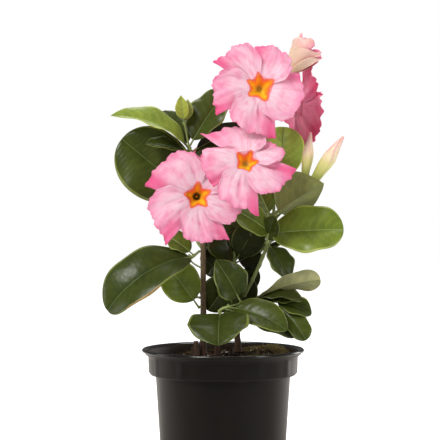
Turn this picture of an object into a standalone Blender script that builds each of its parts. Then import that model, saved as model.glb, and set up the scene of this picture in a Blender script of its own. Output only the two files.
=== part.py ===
"""Potted mandevilla: a nursery pot of potting mix, stems, boughs, foliage and blossom."""
import math
import random

import bmesh
import bpy
from mathutils import Matrix, Vector
from mathutils.bvhtree import BVHTree

MM = 0.001
CLEARANCE = 0.3

# Pot, mm
POT_HEIGHT = 135.0
RIM_RADIUS = 75.0
RIM_LIP = 3.0
BAND_RADIUS = 68.8
BAND_FOOT = 111.0
BODY_RADIUS = 62.3
BASE_RADIUS = 55.0
WALL = 1.5
FLOOR = 2.0
DRAIN_HOLES = 8
DRAIN_RADIUS = 4.5
DRAIN_RING = 44.0
POT_STEPS = 48

# Potting mix, mm
SOIL_EDGE = 126.5
SOIL_MOUND = 3.0
SOIL_SLOPE = 0.022
SOIL_RINGS = (0.0, 14.0, 28.0, 42.0, 54.0)
SOIL_STEPS = 32

# Limbs, mm: foot or start, middle, tip, radius at the start and at the tip
STEMS = {
    "stem_left": ((-18.5, 5.0), (-18.3, 4.0, 190.0), (-19.0, 3.5, 262.0), 2.7, 2.0),
    "stem_right": ((14.0, 12.0), (13.2, 12.5, 158.0), (16.0, 11.5, 186.0), 2.7, 2.2),
    "stem_front": ((-5.5, -12.0), (-5.5, -13.0, 148.0), (-2.2, -16.0, 165.0), 2.1, 1.7),
}
BOUGHS = {
    "bough_middle": ("stem_right", 1.0, (10.0, 18.0, 230.0), (14.0, 22.0, 281.0), 1.9, 1.3),
    "bough_right": ("stem_right", 0.76, (31.0, 4.0, 206.0), (45.0, -1.0, 240.0), 1.8, 1.6),
    "bough_top": ("bough_right", 1.0, (47.0, 9.0, 285.0), (40.0, 19.0, 334.0), 1.5, 1.1),
    "bough_buds": ("bough_top", 0.12, (56.0, 3.0, 262.0), (71.5, -1.0, 273.0), 1.2, 1.0),
    "bough_back_left": ("stem_left", 0.72, (-26.0, 20.0, 243.0), (-22.0, 33.0, 268.0), 1.6, 1.2),
    "bough_back_right": ("stem_right", 0.45, (27.0, 32.0, 186.0), (33.0, 40.0, 214.0), 1.7, 1.2),
}
LIMB_POINTS = 8
FLARE = 0.55
FLARE_HEIGHT = 7.0

# Leaves: outline exponents at the foot and at the tip of the blade
OUTLINES = {"oval": (0.62, 0.66), "pointed": (0.70, 0.95), "blunt": (0.85, 0.48),
            "broad": (0.62, 0.50), "egg": (0.50, 0.90)}
PETIOLE = 8.0
PETIOLE_HALF = 0.9
LEAF_SUNK = 1.2
BLADE_STATIONS = (0.0, 0.10, 0.27, 0.47, 0.66, 0.83, 0.94, 1.0)
LEAF_COLUMNS = (-1.0, 0.0, 1.0)

# Foliage: limb, place on it, further points of the twig, its two radii, then the leaves, each
# as place on the twig, tip, width, arch, the way its upper side faces, fold, twist and outline
FOLIAGE = {
    "foliage_upper_left": ("stem_left", 1.0, ((-27, 7, 292), (-31, 6, 318), (-36, 3, 344)),
                           1.5, 0.8, (
        (0.12, (-94, 2, 329), 66, 18, (-2, -10, 2), 8, 0, "broad"),
        (0.70, (-103, -15, 349), 31, 62, (1, -6, 9), 22, 0, "pointed"),
        (0.68, (-70, -20, 323), 20, 18, (0, -7, 7), 18, 0, "oval"),
        (0.72, (5, 25, 377), 40, 22, (-4, -9, 3), 16, 0, "oval"),
        (0.68, (-56, 26, 357), 26, 24, (0, -3, 9), 18, 0, "oval"),
        (0.66, (23, 23, 341), 31, 20, (0, 6, 8), 12, 0, "oval"),
        (0.58, (-2, 13, 321), 22, 20, (0, -7, 7), 14, 0, "oval"),
        (0.99, (-39, 0, 369), 14, 10, (-3, -9, 2), 20, 0, "pointed"),
        (0.99, (-33, 7, 366), 13, 10, (4, 8, 2), 20, 0, "pointed"),
        (0.40, (-62, 62, 322), 34, 30, (-2, 3, 9), 14, 0, "oval"),
    )),
    "foliage_lower_left": ("stem_left", 0.74, ((-29, -1, 219),), 1.2, 1.0, (
        (1.0, (-105, -22, 171), 54, 86, (-3, -8, 6), 12, 0, "broad"),
        (0.7, (-54, 6, 240), 28, 24, (0, -5, 8), 12, 0, "oval"),
    )),
    "foliage_low_left": ("stem_left", 0.34, ((-22.5, -1.5, 173),), 1.2, 1.0, (
        (1.0, (-52, -3, 214), 38, 16, (0, -9, 4), 10, 0, "oval"),
    )),
    "foliage_front": ("stem_front", 1.0, ((-2, -18, 172), (17, -18, 178)), 1.3, 0.8, (
        (0.15, (-4, -70, 144), 57, 40, (-1, -6, 8), 12, 0, "oval"),
        (0.98, (-7, -27, 218), 36, 30, (3, 9, 1), 14, 0, "egg"),
        (0.50, (57, -44, 155), 34, 46, (0, -7, 7), 16, 0, "oval"),
        (0.35, (60, -22, 150), 28, 26, (0, -5, 9), 12, 0, "oval"),
    )),
    "foliage_inner": ("bough_middle", 0.14, ((11, 9, 214), (10, 8, 236)), 1.2, 0.8, (
        (0.10, (2, 7, 252), 44, 16, (0, -10, 3), 10, 0, "oval"),
        (0.30, (33, 5, 252), 32, 20, (2, -10, 1), 10, 0, "oval"),
        (0.98, (-9, 6, 212), 24, 20, (-2, -9, 3), 10, 0, "oval"),
        (0.98, (6, 5, 276), 38, 18, (0, -10, 2), 10, 0, "oval"),
        (0.04, (-9, 6, 172), 30, 26, (0, -8, -2), 10, 0, "oval"),
        (0.5, (8, 1, 176), 30, 20, (-2, -9, 1), 10, 0, "oval"),
    )),
    "foliage_lower_right": ("stem_right", 0.66, ((23, -1, 178), (45, -9, 179)), 1.5, 0.9, (
        (0.42, (89, -18, 199), 27, 26, (1, -1, 9), 12, -30, "blunt"),
        (0.50, (70, -25, 181), 25, 38, (0, -3, 9), 18, 0, "oval"),
        (0.45, (74, -4, 180), 30, 36, (2, -5, 9), 16, 0, "oval"),
        (0.98, (75, -30, 145), 25, 32, (3, -8, 5), 14, 0, "blunt"),
        (0.98, (81, -13, 167), 30, 32, (2, -6, 8), 14, 0, "oval"),
    )),
    "foliage_right": ("bough_right", 0.80, ((41, -8, 238), (44.5, -10, 257)), 1.3, 0.9, (
        (0.40, (110, -19, 245), 50, 22, (-1, -9, 5), 12, 0, "blunt"),
        (0.36, (15, -33, 269), 32, 26, (2, -9, 4), 14, 0, "oval"),
        (0.06, (59, -14, 200), 31, 28, (5, -7, 5), 12, 0, "oval"),
        (0.98, (92, -18, 287), 54, 18, (-3, 9, 4), 30, 0, "oval"),
    )),
    "foliage_top_right": ("bough_top", 0.42, ((54, 17, 284),), 1.2, 1.0, (
        (1.0, (57, 28, 342), 43, 14, (0, -10, 2), 10, 0, "broad"),
    )),
}

# Foliage grown by rule at the back: limb, place on it, end of the twig, leaf pairs, first
# heading, leaf length, and the space it keeps to (centre and half sizes)
BACK_FOLIAGE = {
    "foliage_back_left": ("bough_back_left", 0.92, (-50, 58, 300), 4, 120, 54,
                          (-42, 64, 285), (66, 64, 76)),
    "foliage_back_right": ("bough_back_right", 1.0, (50, 50, 286), 4, 0, 60,
                           (46, 56, 262), (64, 64, 84)),
    "foliage_back_low": ("stem_right", 0.25, (0, 44, 172), 2, 70, 56,
                         (0, 46, 178), (78, 66, 36)),
}
LEAF_WIDTH_RATIO = 0.56
BACK_TWIG = (1.1, 1.0, 0.8)

# Blossom: limb, place on it, throat, facing, radius, angles of the five petal corners and the
# reach of each petal; degrees, anticlockwise from the right as the flower is faced
BLOOMS = {
    "bloom_front_left": ("stem_left", 0.93, (-22.8, -42, 275.5), (0.12, -0.98, 0.06), 41,
                         (20, 84, 174, 240, 309), (1.01, 1.0, 1.08, 1.15, 1.05)),
    "bloom_middle": ("bough_middle", 1.0, (20.6, -49, 306.4), (0.05, -0.92, 0.30), 42,
                     (-8, 62, 149, 222, 284), (0.98, 0.86, 1.14, 0.98, 1.12)),
    "bloom_top": ("bough_top", 1.0, (33.7, -30, 373.6), (0.10, -0.97, 0.10), 40,
                  (4, 98, 155, 216, 290), (1.0, 0.97, 1.10, 1.12, 1.10)),
    "bloom_back_right": ("bough_top", 0.90, (70, 28, 361), (0.92, 0.38, 0.04), 41,
                         (18, 90, 162, 234, 306), (1.0, 1.04, 1.0, 1.04, 1.0)),
    "bloom_back": ("bough_back_left", 1.0, (-2, 78, 292), (0.12, 0.97, 0.12), 40,
                   (12, 84, 156, 228, 300), (1.0, 1.04, 1.02, 1.0, 1.05)),
}
LEAN_BACK = {"bloom_middle": 32.0}
LEAN_START = 14.0
TUBE_LENGTH = 44.0
TUBE_RINGS = ((2.2, -44.0), (2.5, -27.0), (6.6, -9.0))
THROAT_RINGS = ((5.4, -6.0), (2.8, -14.0))
FLARE_RINGS = ((0.0, 1.0), (0.45, 6.5), (1.0, 6.0))
THROAT_MOUTH = 10.0
PETAL_THICK = 0.9
PETAL_LIFT = 5.0
PETAL_EDGE = ((0.0, 0.84), (0.12, 0.93), (0.40, 0.98), (0.70, 1.0), (0.93, 1.10))
PEDICEL = 1.1

# Buds: places along each from foot to tip with the girth there; then each bud's foot, tip,
# girths and stoutness
CLOSED_BUD = ((0.0, 1.5), (0.10, 2.6), (0.30, 3.0), (0.50, 4.0), (0.62, 4.4), (0.80, 2.8),
              (1.0, 0.6))
OPENING_BUD = ((0.0, 1.8), (0.20, 3.0), (0.40, 7.0), (0.62, 9.6), (0.90, 12.0), (1.0, 11.0))
BUDS = {
    "buds_right": ("bough_buds", 1.0, (
        ((74.0, -1.5, 279), (81, -5, 335), CLOSED_BUD, 1.05),
        ((76.0, -1.5, 278), (110, -18, 330), CLOSED_BUD, 1.32),
    )),
    "bud_opening": ("bough_top", 0.97, (
        ((58, 8, 386), (82, 6, 417), OPENING_BUD, 1.0),
    )),
}

MATERIALS = {
    "pot": ((0.020, 0.018, 0.017), 0.36),
    "soil": ((0.055, 0.036, 0.024), 0.95),
    "stem": ((0.130, 0.065, 0.035), 0.75),
    "bough": ((0.200, 0.260, 0.070), 0.60),
    "foliage": ((0.060, 0.130, 0.025), 0.42),
    "bloom": ((0.850, 0.330, 0.480), 0.60),
    "bud": ((0.800, 0.620, 0.400), 0.60),
}


def clear_scene():
    """Remove what the scene starts with."""
    for item in list(bpy.data.objects):
        bpy.data.objects.remove(item, do_unlink=True)


def material(name, colour, roughness):
    """Make a plain Principled material."""
    made = bpy.data.materials.new(name)
    made.use_nodes = True
    shader = made.node_tree.nodes["Principled BSDF"]
    shader.inputs["Base Color"].default_value = (*colour, 1.0)
    shader.inputs["Roughness"].default_value = roughness
    shader.inputs["Metallic"].default_value = 0.0
    return made


def mesh_object(name, vertices, faces, collection):
    """Make an object from corners in mm and its faces."""
    mesh = bpy.data.meshes.new(name)
    mesh.from_pydata([Vector(v) * MM for v in vertices], [], faces)
    mesh.update()
    made = bpy.data.objects.new(name, mesh)
    collection.objects.link(made)
    return made


def apply_modifiers(item):
    """Replace the object's mesh by the one its modifiers give."""
    bpy.context.view_layer.update()
    graph = bpy.context.evaluated_depsgraph_get()
    mesh = bpy.data.meshes.new_from_object(item.evaluated_get(graph))
    item.modifiers.clear()
    item.data = mesh


def tube(name, points, radii, collection, resolution=2):
    """Sweep a round section of changing radius along points in mm and close its ends."""
    curve = bpy.data.curves.new(name, "CURVE")
    curve.dimensions = "3D"
    curve.bevel_depth = MM
    curve.bevel_resolution = resolution
    curve.use_fill_caps = True
    spline = curve.splines.new("POLY")
    spline.points.add(len(points) - 1)
    for handle, point, radius in zip(spline.points, points, radii):
        handle.co = (*(Vector(point) * MM), 1.0)
        handle.radius = radius
    drawn = bpy.data.objects.new(name + "_line", curve)
    collection.objects.link(drawn)
    bpy.context.view_layer.update()
    graph = bpy.context.evaluated_depsgraph_get()
    mesh = bpy.data.meshes.new_from_object(drawn.evaluated_get(graph))
    bpy.data.objects.remove(drawn, do_unlink=True)
    bpy.data.curves.remove(curve)
    made = bpy.data.objects.new(name, mesh)
    collection.objects.link(made)
    work = bmesh.new()
    work.from_mesh(mesh)
    bmesh.ops.remove_doubles(work, verts=work.verts, dist=1e-7)
    bmesh.ops.recalc_face_normals(work, faces=work.faces)
    work.to_mesh(mesh)
    work.free()
    return made


def bow(start, middle, tip, t):
    """Point at t on the smooth line from start through middle to tip."""
    start, middle, tip = Vector(start), Vector(middle), Vector(tip)
    pull = middle * 2.0 - (start + tip) * 0.5
    return start * (1 - t) ** 2 + pull * (2 * t * (1 - t)) + tip * t ** 2


def along(points, t):
    """Point at the share t of the length of a line of points."""
    spans = [(Vector(b) - Vector(a)).length for a, b in zip(points, points[1:])]
    left = t * sum(spans)
    for a, b, span in zip(points, points[1:], spans):
        if left <= span + 1e-9:
            return Vector(a).lerp(Vector(b), left / span)
        left -= span
    return Vector(points[-1])


def soil_height(x, y):
    """Height of the potting mix at a place in the pot."""
    reach = min(1.0, math.hypot(x, y) / 66.0)
    swell = 0.7 * math.sin(x * 0.11 + 0.8) * math.cos(y * 0.09 - 0.4)
    return SOIL_EDGE + SOIL_MOUND * (1 - reach * reach) + SOIL_SLOPE * x + swell


def pot_radius(z):
    """Outer radius of the pot's body and band at a height."""
    if z > BAND_FOOT:
        return BAND_RADIUS
    return BASE_RADIUS + (BODY_RADIUS - BASE_RADIUS) * z / BAND_FOOT


def make_pot(collection):
    """Turn the pot's floor, wall, band and rolled rim."""
    profile = [
        (0.0, FLOOR),
        (BASE_RADIUS - WALL - 3.0, FLOOR),
        (pot_radius(FLOOR + 3.0) - WALL, FLOOR + 3.0),
        (pot_radius(BAND_FOOT) - WALL, BAND_FOOT + 1.0),
        (BAND_RADIUS - WALL, BAND_FOOT + 4.0),
        (BAND_RADIUS - WALL + 0.6, POT_HEIGHT - 5.0),
        (RIM_RADIUS - 4.0, POT_HEIGHT - 0.7),
        (RIM_RADIUS - 2.4, POT_HEIGHT),
        (RIM_RADIUS - 0.5, POT_HEIGHT - 0.3),
        (RIM_RADIUS, POT_HEIGHT - 1.2),
        (RIM_RADIUS - 0.3, POT_HEIGHT - RIM_LIP),
        (RIM_RADIUS - 1.8, POT_HEIGHT - RIM_LIP - 0.2),
        (RIM_RADIUS - 2.6, POT_HEIGHT - RIM_LIP - 1.6),
        (BAND_RADIUS + 0.7, POT_HEIGHT - RIM_LIP - 3.2),
        (BAND_RADIUS, POT_HEIGHT - RIM_LIP - 6.0),
        (BAND_RADIUS - 0.4, BAND_FOOT + 2.4),
        (BAND_RADIUS - 1.6, BAND_FOOT + 0.4),
        (BODY_RADIUS, BAND_FOOT - 0.4),
        (pot_radius(1.5) + 0.1, 1.5),
        (BASE_RADIUS - 1.2, 0.0),
        (0.0, 0.0),
    ]
    line = [(r, 0.0, z) for r, z in profile]
    pot = mesh_object("pot", line, [], collection)
    work = bmesh.new()
    corners = [work.verts.new(Vector(p) * MM) for p in line]
    for first, second in zip(corners, corners[1:]):
        work.edges.new((first, second))
    work.to_mesh(pot.data)
    work.free()
    screw = pot.modifiers.new("turn", "SCREW")
    screw.steps = POT_STEPS
    screw.render_steps = POT_STEPS
    screw.use_merge_vertices = True
    screw.merge_threshold = 0.00001
    apply_modifiers(pot)
    return pot


def cut_drains(pot, cutters):
    """Cut the ring of drain holes through the pot's floor."""
    work = bmesh.new()
    for index in range(DRAIN_HOLES):
        angle = 2 * math.pi * (index + 0.5) / DRAIN_HOLES
        place = Vector((DRAIN_RING * math.cos(angle), DRAIN_RING * math.sin(angle), 1.0)) * MM
        bmesh.ops.create_cone(work, cap_ends=True, segments=12, radius1=DRAIN_RADIUS * MM,
                              radius2=DRAIN_RADIUS * MM, depth=6 * MM,
                              matrix=Matrix.Translation(place))
    mesh = bpy.data.meshes.new("drain_cutter")
    work.to_mesh(mesh)
    work.free()
    cutter = bpy.data.objects.new("drain_cutter", mesh)
    cutters.objects.link(cutter)
    cutter.hide_render = True
    cutter.display_type = "WIRE"
    cut = pot.modifiers.new("drains", "BOOLEAN")
    cut.operation = "DIFFERENCE"
    cut.solver = "EXACT"
    cut.object = cutter
    apply_modifiers(pot)


def make_soil(collection):
    """Loft the potting mix: mounded top, sides just clear of the pot's wall."""
    vertices = [(0.0, 0.0, soil_height(0.0, 0.0))]
    edge = BAND_RADIUS - WALL - 1.0
    sides = [(edge, BAND_FOOT + 5.5), (pot_radius(BAND_FOOT) - WALL - 0.8, BAND_FOOT + 2.2),
             (pot_radius(10.0) - WALL - 0.8, 10.0),
             (BASE_RADIUS - WALL - 4.5, FLOOR + CLEARANCE)]
    rings = list(SOIL_RINGS[1:]) + [edge]
    for radius in rings:
        for step in range(SOIL_STEPS):
            angle = 2 * math.pi * step / SOIL_STEPS
            x, y = radius * math.cos(angle), radius * math.sin(angle)
            vertices.append((x, y, soil_height(x, y)))
    for radius, z in sides:
        for step in range(SOIL_STEPS):
            angle = 2 * math.pi * step / SOIL_STEPS
            vertices.append((radius * math.cos(angle), radius * math.sin(angle), z))
    vertices.append((0.0, 0.0, FLOOR + CLEARANCE))
    count = len(rings) + len(sides)
    faces = [(0, 1 + s, 1 + (s + 1) % SOIL_STEPS) for s in range(SOIL_STEPS)]
    for ring in range(count - 1):
        low, high = 1 + ring * SOIL_STEPS, 1 + (ring + 1) * SOIL_STEPS
        for s in range(SOIL_STEPS):
            following = (s + 1) % SOIL_STEPS
            faces.append((low + s, high + s, high + following, low + following))
    last = 1 + (count - 1) * SOIL_STEPS
    foot = len(vertices) - 1
    for s in range(SOIL_STEPS):
        faces.append((last + s, foot, last + (s + 1) % SOIL_STEPS))
    return mesh_object("soil", vertices, faces, collection)


def stem_line(name):
    """Points and radii of a stem from its flat cut on the potting mix to its tip."""
    (x, y), middle, tip, low, high = STEMS[name]
    reach = low * (1 + FLARE)
    ring = [soil_height(x + reach * math.cos(a), y + reach * math.sin(a)) for a in range(7)]
    foot = Vector((x, y, max(ring) + CLEARANCE))
    points = [foot, foot + Vector((0, 0, 1.5)), foot + Vector((0, 0, 4.0))]
    start = foot + Vector((0, 0, 8.0))
    points += [bow(start, middle, tip, i / (LIMB_POINTS - 1)) for i in range(LIMB_POINTS)]
    radii = []
    for point in points:
        rise = (point.z - foot.z) / (tip[2] - foot.z)
        swell = 1 + FLARE * math.exp(-(point.z - foot.z) / FLARE_HEIGHT * 2)
        radii.append((low + (high - low) * rise) * swell)
    return points, radii


def girth_along(points, radii, t):
    """Radius of a limb at the share t of its length."""
    spans = [(Vector(b) - Vector(a)).length for a, b in zip(points, points[1:])]
    left = t * sum(spans)
    for span, low, high in zip(spans, radii, radii[1:]):
        if left <= span:
            return low + (high - low) * left / span
        left -= span
    return radii[-1]


def spring(line, place, toward, radius):
    """Start of a limb of that radius, just clear of the limb it springs from."""
    points, radii = line
    root = along(points, place)
    heading = (Vector(toward) - root).normalized()
    axis = (along(points, min(1.0, place + 0.02)) - along(points, max(0.0, place - 0.02)))
    axis.normalize()
    lean = heading.angle(axis)
    if place >= 1.0:
        return root + heading * (CLEARANCE + 0.05 + max(radius, radii[-1]) * math.sin(lean))
    girth = girth_along(points, radii, place)
    away = (girth + CLEARANCE + 0.05 + radius * abs(math.cos(lean))) / math.sin(lean)
    return root + heading * away


def limb_line(name, lines):
    """Points and radii of a bough that springs from a limb already grown."""
    parent, place, middle, tip, low, high = BOUGHS[name]
    start = spring(lines[parent], place, middle, low)
    points = [bow(start, middle, tip, i / (LIMB_POINTS - 1)) for i in range(LIMB_POINTS)]
    radii = [low + (high - low) * i / (LIMB_POINTS - 1) for i in range(LIMB_POINTS)]
    return points, radii


def leaf_frame(root, tip, facing):
    """Length, forward, side and upper directions of a leaf from root to tip."""
    chord = Vector(tip) - Vector(root)
    forward = chord.normalized()
    side = Vector(facing).cross(forward).normalized()
    return chord.length, forward, side, forward.cross(side)


def leaf_line(length, arch, t):
    """Forward and upward way along an arched midrib at t, and its slope."""
    half = math.radians(arch) / 2
    slope = half * (1 - 2 * t)
    radius = length / (2 * math.sin(half))
    return (radius * (math.sin(half) - math.sin(slope)),
            radius * (math.cos(slope) - math.cos(half)), slope)


def blade_half(share, width, outline):
    """Half width of a blade at a share of its length."""
    foot, tip = OUTLINES[outline]
    if share <= 0.0 or share >= 1.0:
        return PETIOLE_HALF if share <= 0.0 else 0.5
    peak = (foot / (foot + tip)) ** foot * (tip / (foot + tip)) ** tip
    return max(0.6, width / 2 * share ** foot * (1 - share) ** tip / peak)


def leaf_shell(root, tip, width, arch, facing, fold, twist, outline):
    """Corners and faces of a closed leaf, its petiole sunk into the twig at root."""
    length, forward, side, normal = leaf_frame(root, tip, facing)
    petiole = min(PETIOLE, length * 0.16) / length
    stations = [-LEAF_SUNK / length] + [petiole + (1 - petiole) * s for s in BLADE_STATIONS]
    thick = max(0.9, length * 0.0125)
    vertices = []
    for t in stations:
        share = (t - petiole) / (1 - petiole)
        ahead, lift, slope = leaf_line(length, arch, t)
        spine = Vector(root) + forward * ahead + normal * lift
        heading = forward * math.cos(slope) + normal * math.sin(slope)
        up = normal * math.cos(slope) - forward * math.sin(slope)
        turn = Matrix.Rotation(math.radians(twist) * max(0.0, share), 3, heading)
        across, up = turn @ side, turn @ up
        half = blade_half(share, width, outline)
        tilt = math.radians(fold) if share > 0 else 0.0
        depth = thick if share > 0 else 1.5
        for sign in (0.5, -0.5):
            for column in LEAF_COLUMNS:
                way = across * (column * half * math.cos(tilt))
                rise = up * (abs(column) * half * math.sin(tilt) + sign * depth)
                vertices.append(spine + way + rise)
    return vertices, shell_faces(len(stations), len(LEAF_COLUMNS))


def shell_faces(rows, columns):
    """Faces of a thin closed shell: upper and lower grid for each row of corners."""
    faces = []
    width = 2 * columns
    for row in range(rows - 1):
        here, there = row * width, (row + 1) * width
        for c in range(columns - 1):
            faces.append((here + c, there + c, there + c + 1, here + c + 1))
            low, high = here + columns + c, there + columns + c
            faces.append((low + 1, high + 1, high, low))
        faces.append((here + columns, there + columns, there, here))
        last = columns - 1
        faces.append((here + last, there + last, there + columns + last, here + columns + last))
    end = (rows - 1) * width
    for c in range(columns - 1):
        faces.append((c, c + 1, columns + c + 1, columns + c))
        faces.append((end + c + 1, end + c, end + columns + c, end + columns + c + 1))
    return faces


def facing_frame(facing):
    """Right, up and outward directions of a flower as it is faced."""
    outward = Vector(facing).normalized()
    right = Vector((0, 0, 1)).cross(outward).normalized()
    return right, outward.cross(right), outward


def petal_edges(corners):
    """Angles round the flower with the petal they belong to and their place on it."""
    spread = []
    for index, corner in enumerate(corners):
        start = corners[index - 1] - (360 if index == 0 else 0)
        for place, _ in PETAL_EDGE:
            spread.append((start + (corner - start) * place, index, place))
    return spread


def lean_back(rise, height, lean):
    """Tip the part of a flower above its middle backwards."""
    if rise <= 0.0:
        return rise, height
    turn = math.radians(lean) * min(1.0, rise / LEAN_START)
    return rise * math.cos(turn), height - rise * math.sin(turn)


def corolla_shell(throat, facing, radius, corners, reaches, lean):
    """Corners and faces of a flower: tube, throat and five lobes set like a pinwheel."""
    right, up, outward = facing_frame(facing)
    centre = Vector(throat)
    spread = petal_edges(corners)
    edge = dict(PETAL_EDGE)
    rings = [[(r, z)] * len(spread) for r, z in TUBE_RINGS]
    layers = []
    for share, height in FLARE_RINGS:
        layer = []
        for angle, petal, place in spread:
            reach = radius * reaches[petal] * edge[place] if place else radius * edge[0.0]
            lift = PETAL_LIFT * (0.5 - place) * share ** 1.5 if place else 0.0
            layer.append((THROAT_MOUTH + (reach - THROAT_MOUTH) * share, height + lift))
        layers.append(layer)
    rings += layers
    rings += [[(r, z + PETAL_THICK) for r, z in layer] for layer in reversed(layers)]
    rings += [[(r, z)] * len(spread) for r, z in THROAT_RINGS]
    vertices = []
    for ring in rings:
        for (angle, _, _), (r, z) in zip(spread, ring):
            turn = math.radians(angle)
            rise, height = lean_back(r * math.sin(turn), z, lean if r > THROAT_MOUTH else 0.0)
            vertices.append(centre + right * (r * math.cos(turn)) + up * rise + outward * height)
    count = len(spread)
    faces = [tuple(reversed(range(count)))]
    for ring in range(len(rings) - 1):
        low, high = ring * count, (ring + 1) * count
        for s in range(count):
            following = (s + 1) % count
            faces.append((low + s, low + following, high + following, high + s))
    top = (len(rings) - 1) * count
    faces.append(tuple(range(top, top + count)))
    return vertices, faces


def union(name, base, pieces, collection):
    """Join the pieces to the base by one Boolean union and keep the one closed body."""
    join = base.modifiers.new("join", "BOOLEAN")
    join.operation = "UNION"
    join.solver = "EXACT"
    join.operand_type = "COLLECTION"
    join.collection = pieces
    apply_modifiers(base)
    for piece in list(pieces.objects):
        bpy.data.objects.remove(piece, do_unlink=True)
    keep_body(base.data)
    base.name = name
    base.data.name = name
    if base.name not in collection.objects:
        collection.objects.link(base)
    return base


def keep_body(mesh):
    """Keep the largest connected shell of a mesh."""
    work = bmesh.new()
    work.from_mesh(mesh)
    bmesh.ops.remove_doubles(work, verts=work.verts, dist=2e-6)
    left = set(work.verts)
    shells = []
    while left:
        front = [left.pop()]
        shell = list(front)
        while front:
            corner = front.pop()
            for edge in corner.link_edges:
                other = edge.other_vert(corner)
                if other in left:
                    left.remove(other)
                    front.append(other)
                    shell.append(other)
        shells.append(shell)
    shells.sort(key=len, reverse=True)
    for shell in shells[1:]:
        bmesh.ops.delete(work, geom=shell, context="VERTS")
    bmesh.ops.recalc_face_normals(work, faces=work.faces)
    work.to_mesh(mesh)
    work.free()


def tree_of(item):
    """Search tree of an object's faces, in mm."""
    corners = [v.co / MM for v in item.data.vertices]
    return BVHTree.FromPolygons(corners, [p.vertices for p in item.data.polygons])


def grow_foliage(name, twig, radii, leaves, space, trees, collection, pieces):
    """Fuse the leaves that clear all that has grown to their twig."""
    base = tube(name, twig, radii, collection, 1)
    for index, (place, *leaf) in enumerate(leaves):
        root = along(twig, place)
        vertices, faces = leaf_shell(root, *leaf)
        if space and not all(inside(v, space) for v in vertices):
            continue
        blade = BVHTree.FromPolygons(vertices, faces)
        if any(tree.overlap(blade) for tree in trees.values()):
            continue
        mesh_object(f"{name}_leaf", vertices, faces, pieces)
    return union(name, base, pieces, collection)


def inside(point, space):
    """Whether a point lies in a mass's space."""
    centre, half = space
    return all(abs(p - c) <= h for p, c, h in zip(point, centre, half))


def ruled_leaves(name, twig, pairs, heading, length):
    """Opposite pairs of leaves up a twig, each pair at right angles to the one below."""
    leaves = []
    for pair in range(pairs):
        for hand in (0, 1):
            rule = random.Random(f"{name}-{pair}-{hand}")
            place = (pair + 0.75 + 0.1 * hand) / (pairs + 0.05)
            turn = math.radians(heading + 90 * pair + 180 * hand + rule.uniform(-14, 14))
            rise = math.radians(rule.uniform(0, 30) + 16 * pair / pairs)
            reach = length * rule.uniform(0.86, 1.1) * (1 - 0.12 * pair)
            way = Vector((math.cos(turn) * math.cos(rise), math.sin(turn) * math.cos(rise),
                          math.sin(rise))) * reach
            place = min(1.0, place)
            facing = (rule.uniform(-2, 2) - way.x / 20, rule.uniform(-2, 2) - way.y / 20, 9)
            leaves.append((place, along(twig, place) + way, reach * LEAF_WIDTH_RATIO,
                           rule.uniform(24, 44), facing, 14, 0, "oval"))
    return leaves


def grow_blossom(name, twig, radii, shells, collection, pieces):
    """Fuse flowers or buds to their stalk."""
    base = tube(name, twig, radii, collection, 1)
    for vertices, faces in shells:
        mesh_object(f"{name}_flower", vertices, faces, pieces)
    return union(name, base, pieces, collection)


def stalk(start, tube_foot, facing):
    """Line of a flower stalk that bends from its start into the flower's tube."""
    back = Vector(tube_foot) - Vector(facing).normalized() * 5.0
    middle = (Vector(start) + back) * 0.5 + (back - Vector(start)).orthogonal() * 0.04
    end = Vector(tube_foot) + Vector(facing).normalized() * 3.0
    return [Vector(start), middle, back, end]


def spindle(foot, tip, girths, stout):
    """Points and radii of a bud that swells and tapers from foot to tip."""
    foot, tip = Vector(foot), Vector(tip)
    points = [foot.lerp(tip, share) for share, _ in girths]
    return points, [radius * stout for _, radius in girths]


def finish(item, coat, smooth=False):
    """Give an object its material and its shading."""
    item.data.materials.clear()
    item.data.materials.append(coat)
    for face in item.data.polygons:
        face.use_smooth = smooth


def grow_limbs(coats, collection):
    """Grow the stems and boughs; give their objects and their lines."""
    grown, lines = {}, {}
    for name in STEMS:
        lines[name] = stem_line(name)
        grown[name] = tube(name, *lines[name], collection)
        finish(grown[name], coats["stem"], True)
    for name in BOUGHS:
        lines[name] = limb_line(name, lines)
        grown[name] = tube(name, *lines[name], collection)
        finish(grown[name], coats["bough"], True)
    return grown, lines


def grow_blooms(coats, lines, trees, collection, pieces):
    """Grow each open flower on its bent stalk."""
    for name, (limb, place, throat, facing, *corolla) in BLOOMS.items():
        foot = Vector(throat) - Vector(facing).normalized() * TUBE_LENGTH
        twig = stalk(spring(lines[limb], place, foot, PEDICEL), foot, facing)
        shell = corolla_shell(throat, facing, *corolla, LEAN_BACK.get(name, 0.0))
        bloom = grow_blossom(name, twig, [PEDICEL] * len(twig), [shell], collection, pieces)
        finish(bloom, coats["bloom"], True)
        trees[name] = tree_of(bloom)


def grow_buds(coats, lines, trees, collection, pieces):
    """Grow the buds, each further bud on a stalk of its own off the first one's."""
    for name, (limb, place, buds) in BUDS.items():
        first = Vector(buds[0][0])
        start = spring(lines[limb], place, first, PEDICEL)
        base = tube(name, [start, first], [PEDICEL, PEDICEL * 1.2], collection, 1)
        for foot, tip, girths, stout in buds:
            tube(f"{name}_bud", *spindle(foot, tip, girths, stout), pieces, 1)
            if (Vector(foot) - first).length > 0.1:
                line = [start.lerp(first, 0.3), foot, Vector(foot).lerp(Vector(tip), 0.08)]
                tube(f"{name}_stalk", line, [0.9, 1.0, 1.0], pieces, 1)
        bud = union(name, base, pieces, collection)
        finish(bud, coats["bud"], True)
        trees[name] = tree_of(bud)


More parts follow.
